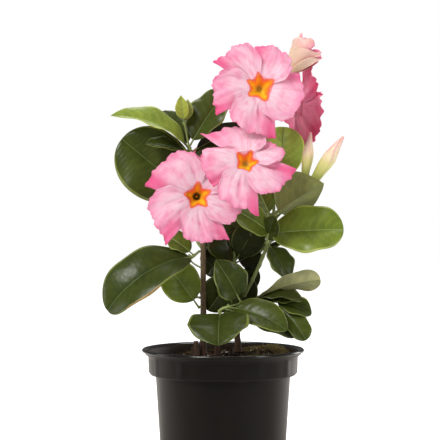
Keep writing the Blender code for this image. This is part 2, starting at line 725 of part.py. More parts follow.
def grow_masses(coats, lines, trees, collection, pieces):
    """Grow the masses of foliage, those at the back by their rule."""
    for name, (limb, place, further, low, high, leaves) in FOLIAGE.items():
        start = spring(lines[limb], place, further[0], low)
        twig = [start] + [Vector(p) for p in further]
        radii = [low + (high - low) * i / (len(twig) - 1) for i in range(len(twig))]
        mass = grow_foliage(name, twig, radii, leaves, None, trees, collection, pieces)
        finish(mass, coats["foliage"])
        trees[name] = tree_of(mass)
    for name, (limb, place, end, pairs, heading, length, *space) in BACK_FOLIAGE.items():
        start = spring(lines[limb], place, end, BACK_TWIG[0])
        twig = [start, start.lerp(Vector(end), 0.5), Vector(end)]
        leaves = ruled_leaves(name, twig, pairs, heading, length)
        mass = grow_foliage(name, twig, BACK_TWIG, leaves, space, trees, collection, pieces)
        finish(mass, coats["foliage"])
        trees[name] = tree_of(mass)


def build():
    """Build the plant and its pot."""
    clear_scene()
    plant = bpy.data.collections.new("potted_mandevilla")
    cutters = bpy.data.collections.new("cutters")
    pieces = bpy.data.collections.new("pieces")
    for group in (plant, cutters, pieces):
        bpy.context.scene.collection.children.link(group)
    coats = {key: material(key, *values) for key, values in MATERIALS.items()}
    pot = make_pot(plant)
    cut_drains(pot, cutters)
    finish(pot, coats["pot"], True)
    soil = make_soil(plant)
    finish(soil, coats["soil"])
    limbs, lines = grow_limbs(coats, plant)
    trees = {name: tree_of(item) for name, item in {"pot": pot, "soil": soil, **limbs}.items()}
    grow_blooms(coats, lines, trees, plant, pieces)
    grow_buds(coats, lines, trees, plant, pieces)
    grow_masses(coats, lines, trees, plant, pieces)
    bpy.data.collections.remove(pieces)


build()
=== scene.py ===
import math
import random

import bpy
import numpy as np
from mathutils import Matrix, Vector


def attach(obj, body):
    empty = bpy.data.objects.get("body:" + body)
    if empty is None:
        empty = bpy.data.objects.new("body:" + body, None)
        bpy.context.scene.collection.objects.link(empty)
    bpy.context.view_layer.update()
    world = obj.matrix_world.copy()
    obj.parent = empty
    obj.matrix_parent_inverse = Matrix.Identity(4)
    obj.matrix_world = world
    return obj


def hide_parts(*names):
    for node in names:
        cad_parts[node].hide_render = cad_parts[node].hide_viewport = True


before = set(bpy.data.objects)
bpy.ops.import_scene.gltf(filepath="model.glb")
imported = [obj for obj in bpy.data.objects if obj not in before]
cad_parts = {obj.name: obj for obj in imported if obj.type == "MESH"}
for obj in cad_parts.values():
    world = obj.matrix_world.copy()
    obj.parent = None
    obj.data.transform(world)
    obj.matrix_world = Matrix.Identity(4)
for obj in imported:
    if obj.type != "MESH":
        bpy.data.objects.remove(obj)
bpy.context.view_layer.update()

MM = 0.001
FULL_TURN = 2 * math.pi
# Gap under a stem's foot and round the start of any other limb, mm
CLEARANCE = 0.3
SPRING_GAP = 0.35

# Pot, mm
BAND_RADIUS = 68.8
BAND_FOOT = 111.0
BODY_RADIUS = 62.3
BASE_RADIUS = 55.0
WALL = 1.5
DRAIN_HOLES = 8
DRAIN_RADIUS = 4.5
DRAIN_RING = 44.0

# Potting mix, mm
SOIL_EDGE = 126.5
SOIL_MOUND = 3.0
SOIL_SLOPE = 0.022
SOIL_REACH = 66.0

# Limbs, mm: foot or start, middle, tip, radius at the start and at the tip
STEMS = {
    "stem_left": ((-18.5, 5.0), (-18.3, 4.0, 190.0), (-19.0, 3.5, 262.0), 2.7, 2.0),
    "stem_right": ((14.0, 12.0), (13.2, 12.5, 158.0), (16.0, 11.5, 186.0), 2.7, 2.2),
    "stem_front": ((-5.5, -12.0), (-5.5, -13.0, 148.0), (-2.2, -16.0, 165.0), 2.1, 1.7),
}
BOUGHS = {
    "bough_middle": ("stem_right", 1.0, (10.0, 18.0, 230.0), (14.0, 22.0, 281.0), 1.9, 1.3),
    "bough_right": ("stem_right", 0.76, (31.0, 4.0, 206.0), (45.0, -1.0, 240.0), 1.8, 1.6),
    "bough_top": ("bough_right", 1.0, (47.0, 9.0, 285.0), (40.0, 19.0, 334.0), 1.5, 1.1),
    "bough_buds": ("bough_top", 0.12, (56.0, 3.0, 262.0), (71.5, -1.0, 273.0), 1.2, 1.0),
    "bough_back_left": ("stem_left", 0.72, (-26.0, 20.0, 243.0), (-22.0, 33.0, 268.0), 1.6, 1.2),
    "bough_back_right": ("stem_right", 0.45, (27.0, 32.0, 186.0), (33.0, 40.0, 214.0), 1.7, 1.2),
}
LIMB_POINTS = 8
FLARE = 0.55
FLARE_HEIGHT = 7.0

# Leaves: outline exponents at the foot and at the tip of the blade
OUTLINES = {"oval": (0.62, 0.66), "pointed": (0.70, 0.95), "blunt": (0.85, 0.48),
            "broad": (0.62, 0.50), "egg": (0.50, 0.90)}
PETIOLE = 8.0
LEAF_SUNK = 1.2

# Foliage: limb, place on it, further points of the twig, its two radii, then the leaves, each
# as place on the twig, tip, width, arch, the way its upper side faces, fold, twist and outline
FOLIAGE = {
    "foliage_upper_left": ("stem_left", 1.0, ((-27, 7, 292), (-31, 6, 318), (-36, 3, 344)),
                           1.5, 0.8, (
        (0.12, (-94, 2, 329), 66, 18, (-2, -10, 2), 8, 0, "broad"),
        (0.70, (-103, -15, 349), 31, 62, (1, -6, 9), 22, 0, "pointed"),
        (0.68, (-70, -20, 323), 20, 18, (0, -7, 7), 18, 0, "oval"),
        (0.72, (5, 25, 377), 40, 22, (-4, -9, 3), 16, 0, "oval"),
        (0.68, (-56, 26, 357), 26, 24, (0, -3, 9), 18, 0, "oval"),
        (0.66, (23, 23, 341), 31, 20, (0, 6, 8), 12, 0, "oval"),
        (0.58, (-2, 13, 321), 22, 20, (0, -7, 7), 14, 0, "oval"),
        (0.99, (-39, 0, 369), 14, 10, (-3, -9, 2), 20, 0, "pointed"),
        (0.99, (-33, 7, 366), 13, 10, (4, 8, 2), 20, 0, "pointed"),
        (0.40, (-62, 62, 322), 34, 30, (-2, 3, 9), 14, 0, "oval"),
    )),
    "foliage_lower_left": ("stem_left", 0.74, ((-29, -1, 219),), 1.2, 1.0, (
        (1.0, (-105, -22, 171), 54, 86, (-3, -8, 6), 12, 0, "broad"),
        (0.7, (-54, 6, 240), 28, 24, (0, -5, 8), 12, 0, "oval"),
    )),
    "foliage_low_left": ("stem_left", 0.34, ((-22.5, -1.5, 173),), 1.2, 1.0, (
        (1.0, (-52, -3, 214), 38, 16, (0, -9, 4), 10, 0, "oval"),
    )),
    "foliage_front": ("stem_front", 1.0, ((-2, -18, 172), (17, -18, 178)), 1.3, 0.8, (
        (0.15, (-4, -70, 144), 57, 40, (-1, -6, 8), 12, 0, "oval"),
        (0.98, (-7, -27, 218), 36, 30, (3, 9, 1), 14, 0, "egg"),
        (0.50, (57, -44, 155), 34, 46, (0, -7, 7), 16, 0, "oval"),
        (0.35, (60, -22, 150), 28, 26, (0, -5, 9), 12, 0, "oval"),
    )),
    "foliage_inner": ("bough_middle", 0.14, ((11, 9, 214), (10, 8, 236)), 1.2, 0.8, (
        (0.10, (2, 7, 252), 44, 16, (0, -10, 3), 10, 0, "oval"),
        (0.30, (33, 5, 252), 32, 20, (2, -10, 1), 10, 0, "oval"),
        (0.98, (-9, 6, 212), 24, 20, (-2, -9, 3), 10, 0, "oval"),
        (0.98, (6, 5, 276), 38, 18, (0, -10, 2), 10, 0, "oval"),
        (0.04, (-9, 6, 172), 30, 26, (0, -8, -2), 10, 0, "oval"),
        (0.5, (8, 1, 176), 30, 20, (-2, -9, 1), 10, 0, "oval"),
    )),
    "foliage_lower_right": ("stem_right", 0.66, ((23, -1, 178), (45, -9, 179)), 1.5, 0.9, (
        (0.42, (89, -18, 199), 27, 26, (1, -1, 9), 12, -30, "blunt"),
        (0.50, (70, -25, 181), 25, 38, (0, -3, 9), 18, 0, "oval"),
        (0.45, (74, -4, 180), 30, 36, (2, -5, 9), 16, 0, "oval"),
        (0.98, (75, -30, 145), 25, 32, (3, -8, 5), 14, 0, "blunt"),
        (0.98, (81, -13, 167), 30, 32, (2, -6, 8), 14, 0, "oval"),
    )),
    "foliage_right": ("bough_right", 0.80, ((41, -8, 238), (44.5, -10, 257)), 1.3, 0.9, (
        (0.40, (110, -19, 245), 50, 22, (-1, -9, 5), 12, 0, "blunt"),
        (0.36, (15, -33, 269), 32, 26, (2, -9, 4), 14, 0, "oval"),
        (0.06, (59, -14, 200), 31, 28, (5, -7, 5), 12, 0, "oval"),
        (0.98, (92, -18, 287), 54, 18, (-3, 9, 4), 30, 0, "oval"),
    )),
    "foliage_top_right": ("bough_top", 0.42, ((54, 17, 284),), 1.2, 1.0, (
        (1.0, (57, 28, 342), 43, 14, (0, -10, 2), 10, 0, "broad"),
    )),
}

# Foliage grown by rule at the back: limb, place on it, end of the twig, leaf pairs, first
# heading and leaf length
BACK_FOLIAGE = {
    "foliage_back_left": ("bough_back_left", 0.92, (-50, 58, 300), 4, 120, 54),
    "foliage_back_right": ("bough_back_right", 1.0, (50, 50, 286), 4, 0, 60),
    "foliage_back_low": ("stem_right", 0.25, (0, 44, 172), 2, 70, 56),
}
LEAF_WIDTH_RATIO = 0.56
BACK_TWIG = (1.1, 1.0, 0.8)

# Blossom: limb, place on it, throat, facing, radius, angles of the five petal corners and the
# reach of each petal; degrees, anticlockwise from the right as the flower is faced
BLOOMS = {
    "bloom_front_left": ("stem_left", 0.93, (-22.8, -42, 275.5), (0.12, -0.98, 0.06), 41,
                         (20, 84, 174, 240, 309), (1.01, 1.0, 1.08, 1.15, 1.05)),
    "bloom_middle": ("bough_middle", 1.0, (20.6, -49, 306.4), (0.05, -0.92, 0.30), 42,
                     (-8, 62, 149, 222, 284), (0.98, 0.86, 1.14, 0.98, 1.12)),
    "bloom_top": ("bough_top", 1.0, (33.7, -30, 373.6), (0.10, -0.97, 0.10), 40,
                  (4, 98, 155, 216, 290), (1.0, 0.97, 1.10, 1.12, 1.10)),
    "bloom_back_right": ("bough_top", 0.90, (70, 28, 361), (0.92, 0.38, 0.04), 41,
                         (18, 90, 162, 234, 306), (1.0, 1.04, 1.0, 1.04, 1.0)),
    "bloom_back": ("bough_back_left", 1.0, (-2, 78, 292), (0.12, 0.97, 0.12), 40,
                   (12, 84, 156, 228, 300), (1.0, 1.04, 1.02, 1.0, 1.05)),
}
LEAN_BACK = {"bloom_middle": 32.0}
LEAN_START = 14.0
TUBE_LENGTH = 44.0
THROAT_MOUTH = 10.0
PETAL_LIFT = 5.0
PEDICEL = 1.1

# Buds: places along each from foot to tip with the girth there; then each bud's foot, tip,
# girths and stoutness
CLOSED_BUD = ((0.0, 1.5), (0.10, 2.6), (0.30, 3.0), (0.50, 4.0), (0.62, 4.4), (0.80, 2.8),
              (1.0, 0.6))
OPENING_BUD = ((0.0, 1.8), (0.20, 3.0), (0.40, 7.0), (0.62, 9.6), (0.90, 12.0), (1.0, 11.0))
BUDS = {
    "buds_right": ("bough_buds", 1.0, (
        ((74.0, -1.5, 279), (81, -5, 335), CLOSED_BUD, 1.05),
        ((76.0, -1.5, 278), (110, -18, 330), CLOSED_BUD, 1.32),
    )),
    "bud_opening": ("bough_top", 0.97, (
        ((58, 8, 386), (82, 6, 417), OPENING_BUD, 1.0),
    )),
}


def bow(start, middle, tip, t):
    """Point at t on the smooth line from start through middle to tip."""
    start, middle, tip = Vector(start), Vector(middle), Vector(tip)
    pull = middle * 2.0 - (start + tip) * 0.5
    return start * (1 - t) ** 2 + pull * (2 * t * (1 - t)) + tip * t ** 2


def walk(points, t):
    """Number of the span that holds the share t of a line's length, and the share along it."""
    spans = [(Vector(b) - Vector(a)).length for a, b in zip(points, points[1:])]
    left = t * sum(spans)
    for index, span in enumerate(spans):
        if left <= span + 1e-9:
            return index, left / span
        left -= span
    return len(spans) - 1, 1.0


def along(points, t):
    """Point at the share t of the length of a line of points."""
    index, share = walk(points, t)
    return Vector(points[index]).lerp(Vector(points[index + 1]), share)


def soil_height(x, y):
    """Height of the potting mix at a place in the pot."""
    reach = min(1.0, math.hypot(x, y) / SOIL_REACH)
    swell = 0.7 * math.sin(x * 0.11 + 0.8) * math.cos(y * 0.09 - 0.4)
    return SOIL_EDGE + SOIL_MOUND * (1 - reach * reach) + SOIL_SLOPE * x + swell


def pot_radius(z):
    """Outer radius of the pot's body and band at a height."""
    if z > BAND_FOOT:
        return BAND_RADIUS
    return BASE_RADIUS + (BODY_RADIUS - BASE_RADIUS) * z / BAND_FOOT


def stem_line(name):
    """Points and radii of a stem from its flat cut on the potting mix to its tip."""
    (x, y), middle, tip, low, high = STEMS[name]
    reach = low * (1 + FLARE)
    ring = [soil_height(x + reach * math.cos(a), y + reach * math.sin(a)) for a in range(7)]
    foot = Vector((x, y, max(ring) + CLEARANCE))
    points = [foot, foot + Vector((0, 0, 1.5)), foot + Vector((0, 0, 4.0))]
    start = foot + Vector((0, 0, 8.0))
    points += [bow(start, middle, tip, i / (LIMB_POINTS - 1)) for i in range(LIMB_POINTS)]
    radii = []
    for point in points:
        rise = (point.z - foot.z) / (tip[2] - foot.z)
        swell = 1 + FLARE * math.exp(-(point.z - foot.z) / FLARE_HEIGHT * 2)
        radii.append((low + (high - low) * rise) * swell)
    return points, radii


def girth_along(points, radii, t):
    """Radius of a limb at the share t of its length."""
    index, share = walk(points, t)
    return radii[index] + (radii[index + 1] - radii[index]) * share


def spring(line, place, toward, radius):
    """Start of a limb of that radius, just clear of the limb it springs from."""
    points, radii = line
    root = along(points, place)
    heading = (Vector(toward) - root).normalized()
    axis = along(points, min(1.0, place + 0.02)) - along(points, max(0.0, place - 0.02))
    lean = heading.angle(axis.normalized())
    if place >= 1.0:
        return root + heading * (SPRING_GAP + max(radius, radii[-1]) * math.sin(lean))
    girth = girth_along(points, radii, place)
    away = (girth + SPRING_GAP + radius * abs(math.cos(lean))) / math.sin(lean)
    return root + heading * away


def limb_line(name, lines):
    """Points and radii of a bough that springs from a limb already grown."""
    parent, place, middle, tip, low, high = BOUGHS[name]
    start = spring(lines[parent], place, middle, low)
    points = [bow(start, middle, tip, i / (LIMB_POINTS - 1)) for i in range(LIMB_POINTS)]
    radii = [low + (high - low) * i / (LIMB_POINTS - 1) for i in range(LIMB_POINTS)]
    return points, radii


def leaf_frame(root, tip, facing):
    """Length, forward, side and upper directions of a leaf from root to tip."""
    chord = Vector(tip) - Vector(root)
    forward = chord.normalized()
    side = Vector(facing).cross(forward).normalized()
    return chord.length, forward, side, forward.cross(side)


def ruled_leaves(name, twig, pairs, heading, length):
    """Opposite pairs of leaves up a twig, each pair at right angles to the one below."""
    leaves = []
    for pair in range(pairs):
        for hand in (0, 1):
            rule = random.Random(f"{name}-{pair}-{hand}")
            place = (pair + 0.75 + 0.1 * hand) / (pairs + 0.05)
            turn = math.radians(heading + 90 * pair + 180 * hand + rule.uniform(-14, 14))
            rise = math.radians(rule.uniform(0, 30) + 16 * pair / pairs)
            reach = length * rule.uniform(0.86, 1.1) * (1 - 0.12 * pair)
            way = Vector((math.cos(turn) * math.cos(rise), math.sin(turn) * math.cos(rise),
                          math.sin(rise))) * reach
            place = min(1.0, place)
            facing = (rule.uniform(-2, 2) - way.x / 20, rule.uniform(-2, 2) - way.y / 20, 9)
            leaves.append((place, along(twig, place) + way, reach * LEAF_WIDTH_RATIO,
                           rule.uniform(24, 44), facing, 14, 0, "oval"))
    return leaves


def facing_frame(facing):
    """Right, up and outward directions of a flower as it is faced."""
    outward = Vector(facing).normalized()
    right = Vector((0, 0, 1)).cross(outward).normalized()
    return right, outward.cross(right), outward


def stalk(start, tube_foot, facing):
    """Line of a flower stalk that bends from its start into the flower's tube."""
    back = Vector(tube_foot) - Vector(facing).normalized() * 5.0
    middle = (Vector(start) + back) * 0.5 + (back - Vector(start)).orthogonal() * 0.04
    end = Vector(tube_foot) + Vector(facing).normalized() * 3.0
    return [Vector(start), middle, back, end]


# Finishes --------------------------------------------------------------------------------

# The edge tone is a pale leaf margin and partly a painted highlight along the leaf's rim.
GREENS = {  # upper side, lower side, edge
    "deep": ((0.024, 0.032, 0.005), (0.050, 0.056, 0.016), (0.080, 0.100, 0.020)),
    "dark": ((0.034, 0.050, 0.007), (0.070, 0.075, 0.025), (0.130, 0.160, 0.030)),
    "glossy": ((0.044, 0.062, 0.008), (0.085, 0.090, 0.030), (0.150, 0.180, 0.035)),
    "mid": ((0.082, 0.112, 0.014), (0.120, 0.130, 0.040), (0.210, 0.250, 0.050)),
    "fresh": ((0.125, 0.180, 0.022), (0.170, 0.190, 0.060), (0.290, 0.350, 0.075)),
    "young": ((0.270, 0.310, 0.050), (0.250, 0.300, 0.065), (0.440, 0.470, 0.110)),
    "spring": ((0.190, 0.255, 0.040), (0.200, 0.250, 0.060), (0.380, 0.440, 0.100)),
    "shade": ((0.014, 0.018, 0.004), (0.020, 0.023, 0.008), (0.040, 0.050, 0.012)),
    "olive": ((0.150, 0.155, 0.035), (0.150, 0.170, 0.050), (0.300, 0.300, 0.090)),
    "lit": ((0.310, 0.480, 0.085), (0.250, 0.320, 0.065), (0.560, 0.660, 0.120)),
    "grey": ((0.092, 0.112, 0.030), (0.260, 0.270, 0.130), (0.300, 0.310, 0.140)),
}


# Midribs and spoilt edges of leaves
RIB_TONES = {"midrib": (0.24, 0.33, 0.09), "midrib_dark": (0.075, 0.115, 0.025),
             "midrib_under": (0.17, 0.20, 0.07), "scorched": (0.26, 0.17, 0.05),
             "yellowed": (0.50, 0.46, 0.06)}
# Body, pale and deep pink of a petal's two sides; pale also paints highlights, deep also paints
# shade
PETAL_PINKS = {"petal_face": ((0.73, 0.265, 0.40), (0.77, 0.51, 0.58), (0.67, 0.080, 0.215)),
               "petal_back": ((0.68, 0.11, 0.23), (0.75, 0.27, 0.38), (0.54, 0.035, 0.13))}
# Colours from the rim of a flower's star inwards, the painted shade deep in its throat, and a bud
# from foot to tip
STAR_STOPS = ((0.0, (0.80, 0.26, 0.34)), (0.22, (0.80, 0.13, 0.09)), (0.48, (0.86, 0.20, 0.015)),
              (0.80, (0.88, 0.36, 0.012)), (1.0, (0.90, 0.50, 0.02)))
HOLLOW_SHADE_TONE = (0.085, 0.075, 0.020)
BUD_STOPS = ((0.0, (0.22, 0.29, 0.035)), (0.34, (0.38, 0.43, 0.08)), (0.54, (0.62, 0.58, 0.20)),
             (0.66, (0.74, 0.63, 0.39)), (0.86, (0.74, 0.57, 0.42)), (1.0, (0.66, 0.35, 0.28)))
# Two tones, roughness and shine
POT_BLACKS = ((0.005, 0.004, 0.003), (0.011, 0.009, 0.007))
POT_FINISHES = {"pot_plastic": (*POT_BLACKS, 0.24, 0.36), "pot_lip": (*POT_BLACKS, 0.12, 0.60),
                "pot_inside": ((0.020, 0.012, 0.008), (0.055, 0.033, 0.021), 0.45, 0.25)}
# Two tones, grain in mm, roughness, relief, shine and stretch
PLAIN_FINISHES = {
    "shoot": ((0.170, 0.205, 0.055), (0.330, 0.390, 0.125), 3.5, 0.50, 0.25, 0.4, (1, 1, 0.2)),
    "stalk": ((0.120, 0.150, 0.035), (0.240, 0.290, 0.080), 3.0, 0.48, 0.2, 0.4, (1, 1, 0.3)),
    "sepal": ((0.150, 0.190, 0.050), (0.300, 0.330, 0.100), 2.0, 0.5, 0.3, 0.4),
    "potting_mix": ((0.012, 0.008, 0.005), (0.055, 0.034, 0.020), 3.0, 0.92, 0.8, 0.2),
    "crumb": ((0.010, 0.006, 0.004), (0.045, 0.027, 0.015), 1.5, 0.9, 0.6, 0.2),
    "bark_chip": ((0.050, 0.026, 0.013), (0.120, 0.066, 0.034), 1.5, 0.85, 0.6, 0.2),
    "moss": ((0.045, 0.022, 0.008), (0.270, 0.215, 0.075), 1.6, 0.9, 0.5, 0.2),
    "perlite": ((0.55, 0.54, 0.50), (0.80, 0.79, 0.74), 0.8, 0.8, 0.5, 0.4),
}


def shader_of(name):
    """Make a material and give it with its node tree and its Principled shader."""
    made = bpy.data.materials.new(name)
    made.use_nodes = True
    tree = made.node_tree
    return made, tree, tree.nodes["Principled BSDF"]


def adjust(made, **values):
    """Set a node's properties and its plain inputs by their names."""
    for key, value in values.items():
        if hasattr(made, key):
            setattr(made, key, value)
        else:
            made.inputs[key.replace("_", " ")].default_value = value
    return made


def node(tree, kind, **values):
    """Add a node with these properties and plain inputs."""
    return adjust(tree.nodes.new(kind), **values)


def noise(tree, source, scale, stretch, detail):
    """Noise over a set of coordinates, stretched first."""
    turn = node(tree, "ShaderNodeMapping", Scale=stretch)
    made = node(tree, "ShaderNodeTexNoise", Scale=scale, Detail=detail)
    tree.links.new(source, turn.inputs["Vector"])
    tree.links.new(turn.outputs["Vector"], made.inputs["Vector"])
    return made.outputs["Fac"]


def grain(tree, size, stretch=(1, 1, 1), detail=3.0):
    """Noise in the object's own space, its grain about this many mm across."""
    place = node(tree, "ShaderNodeTexCoord").outputs["Object"]
    return noise(tree, place, 1.0 / (size * MM), stretch, detail)


def streaks(tree, across, lengthways):
    """Noise on a petal's own map, finer or coarser across it and along it."""
    lay = node(tree, "ShaderNodeUVMap", uv_map="lay").outputs["UV"]
    return noise(tree, lay, 1.0, (across, lengthways, 1.0), 4.0)


def ramp(tree, source, stops):
    """Colour ramp with stops of place and colour."""
    made = node(tree, "ShaderNodeValToRGB")
    while len(made.color_ramp.elements) < len(stops):
        made.color_ramp.elements.new(0.5)
    for element, (place, colour) in zip(made.color_ramp.elements, stops):
        element.position = place
        element.color = (*colour, 1.0)
    tree.links.new(source, made.inputs["Fac"])
    return made.outputs["Color"]


def blend(tree, share, low, high):
    """Mix two colours, each a socket or plain numbers, by the share at a socket."""
    made = node(tree, "ShaderNodeMix", data_type="RGBA")
    tree.links.new(share, made.inputs[0])
    for value, spot in ((low, made.inputs[6]), (high, made.inputs[7])):
        if isinstance(value, bpy.types.NodeSocket):
            tree.links.new(value, spot)
        else:
            spot.default_value = (*value, 1.0)
    return made.outputs[2]


def level(tree, source, low, high):
    """Spread a share between two plain numbers."""
    made = node(tree, "ShaderNodeMapRange", To_Min=low, To_Max=high)
    tree.links.new(source, made.inputs["Value"])
    return made.outputs["Result"]


def climb_share(tree, axis, low, high):
    """Share that grows from 0 to 1 between two places on an axis of the piece, in metres."""
    place = node(tree, "ShaderNodeSeparateXYZ")
    tree.links.new(node(tree, "ShaderNodeTexCoord").outputs["Object"], place.inputs[0])
    made = node(tree, "ShaderNodeMapRange", From_Min=low, From_Max=high)
    tree.links.new(place.outputs[axis], made.inputs["Value"])
    return made.outputs["Result"]


def mark(tree, name):
    """Share that the mesh carries at each corner under this name."""
    return node(tree, "ShaderNodeAttribute", attribute_name=name).outputs["Fac"]


def roughen(tree, shader, source, strength, depth):
    """Press a pattern into the surface as fine relief."""
    made = node(tree, "ShaderNodeBump", Strength=strength, Distance=depth * MM)
    tree.links.new(source, made.inputs["Height"])
    tree.links.new(made.outputs["Normal"], shader.inputs["Normal"])


def skin(tree, shader, colour, dullness, shine):
    """Give a surface the patterns of its colour and its roughness, and its shine."""
    tree.links.new(colour, shader.inputs["Base Color"])
    tree.links.new(dullness, shader.inputs["Roughness"])
    adjust(shader, Specular_IOR_Level=shine)


def leaf_finish(name, colour, dull, vein, shine):
    """Leaf surface: soft mottling, paler side veins, a waxy or a dull skin."""
    made, tree, shader = shader_of(name)
    base = blend(tree, level(tree, grain(tree, 14), -0.5, 1.5), [c * 0.72 for c in colour],
                 [c * s for c, s in zip(colour, (1.34, 1.24, 1.1))])
    pale = [min(1.0, c * s) for c, s in zip(colour, (2.0, 1.8, 1.9))]
    base = blend(tree, level(tree, mark(tree, "vein"), 0.0, vein), base, pale)
    skin(tree, shader, base, level(tree, grain(tree, 3.5), dull - 0.05, dull + 0.07), shine)
    puckers = node(tree, "ShaderNodeMath", operation="MULTIPLY_ADD")
    tree.links.new(grain(tree, 0.9), puckers.inputs[0])
    puckers.inputs[1].default_value = 0.10
    tree.links.new(grain(tree, 8.0, detail=1.0), puckers.inputs[2])
    roughen(tree, shader, puckers.outputs[0], 0.42, 0.9)
    return made


def plain_finish(name, low, high, size, rough, relief, shine, stretch=(1, 1, 1)):
    """Surface whose colour drifts between two tones, with a fine relief."""
    made, tree, shader = shader_of(name)
    dullness = level(tree, grain(tree, size * 0.6, stretch), rough - 0.08, rough + 0.08)
    skin(tree, shader, blend(tree, grain(tree, size, stretch, 5.0), low, high), dullness, shine)
    roughen(tree, shader, grain(tree, size * 0.4, stretch), relief, 0.15)
    return made


def petal_finish(name):
    """Petal skin: pale heart, pink body, deep pink corners, fine rays, orange star, with painted
    shade in creases, under overlapping edges and deep in the throat, and a painted highlight along
    raised edges.
    """
    body, pale, deep = PETAL_PINKS[name]
    made, tree, shader = shader_of(name)
    rays = streaks(tree, 24.0, 2.0)
    # The pale mark holds the pale heart and a painted highlight along each petal's raised edge.
    base = blend(tree, mark(tree, "pale"), body, pale)
    base = blend(tree, level(tree, streaks(tree, 3.2, 2.4), -0.95, 1.45), base, pale)
    base = blend(tree, level(tree, streaks(tree, 6.0, 3.4), -0.90, 1.00), base, deep)
    base = blend(tree, level(tree, rays, -0.38, 0.52), base, deep)
    # The blush mark holds deep pink, and painted shade in creases and under the next petal's edge.
    base = blend(tree, mark(tree, "blush"), base, deep)
    star = mark(tree, "star")
    edge = ramp(tree, star, ((0.0, (0, 0, 0)), (0.20, (1, 1, 1))))
    base = blend(tree, edge, base, ramp(tree, star, STAR_STOPS))
    # Painted shade deep in the throat.
    base = blend(tree, mark(tree, "hollow"), base, HOLLOW_SHADE_TONE)
    skin(tree, shader, base, level(tree, rays, 0.48, 0.66), 0.25)
    adjust(shader, Subsurface_Weight=0.22, Subsurface_Radius=(1.0, 0.45, 0.5),
           Subsurface_Scale=0.002)
    roughen(tree, shader, rays, 0.22, 0.25)
    return made


def bud_finish(name):
    """Bud skin: yellow-green below, cream turning pink at the tip."""
    made, tree, shader = shader_of(name)
    base = ramp(tree, mark(tree, "rise"), BUD_STOPS)
    base = blend(tree, mark(tree, "blush"), base, (0.80, 0.24, 0.38))
    base = blend(tree, level(tree, grain(tree, 1.6, (1, 1, 0.2)), -0.1, 0.25), base,
                 (0.80, 0.54, 0.38))
    tree.links.new(base, shader.inputs["Base Color"])
    adjust(shader, Roughness=0.5, Subsurface_Weight=0.15, Subsurface_Scale=0.002)
    roughen(tree, shader, grain(tree, 0.7, (1, 1, 0.15)), 0.3, 0.15)
    return made


def bark_finish(name):
    """Bark of the stems: dark brown by the soil, paler and greener further up."""
    made, tree, shader = shader_of(name)
    drift = grain(tree, 2.6, (1, 1, 0.28), 5.0)
    low = blend(tree, drift, (0.030, 0.014, 0.008), (0.095, 0.048, 0.024))
    high = blend(tree, drift, (0.095, 0.060, 0.028), (0.250, 0.185, 0.095))
    base = blend(tree, climb_share(tree, "Z", 0.14, 0.24), low, high)
    skin(tree, shader, base, level(tree, drift, 0.62, 0.78), 0.3)
    roughen(tree, shader, grain(tree, 1.0, (1, 1, 0.28)), 0.6, 0.15)
    return made


def pot_finish(name, low, high, rough, shine):
    """Black moulded plastic with faint dust and fine scuffs."""
    made, tree, shader = shader_of(name)
    dust = grain(tree, 22, (1, 1, 0.45), 6.0)
    scuffs = level(tree, grain(tree, 9, (1, 1, 0.3)), rough, rough + 0.14)
    skin(tree, shader, blend(tree, dust, low, high), scuffs, shine)
    roughen(tree, shader, grain(tree, 0.5), 0.10, 0.04)
    return made


def finishes():
    """Make every finish of the plant and its pot."""
    made = {}
    for tone, (upper, lower, edge) in GREENS.items():
        made[f"{tone}_upper"] = leaf_finish(f"leaf_{tone}", upper, 0.31, 0.40, 0.24)
        made[f"{tone}_under"] = leaf_finish(f"leaf_{tone}_under", lower, 0.55, 0.30, 0.25)
        made[f"{tone}_edge"] = leaf_finish(f"leaf_{tone}_edge", edge, 0.45, 0.0, 0.4)
    for name, colour in RIB_TONES.items():
        made[name] = leaf_finish(name, colour, 0.42, 0.0, 0.4)
    for name in PETAL_PINKS:
        made[name] = petal_finish(name)
    for name, values in POT_FINISHES.items():
        made[name] = pot_finish(name, *values)
    for name, values in PLAIN_FINISHES.items():
        made[name] = plain_finish(name, *values)
    made["bud_skin"] = bud_finish("bud_skin")
    made["bark"] = bark_finish("bark")
    return made


# Joined small things ---------------------------------------------------------------------

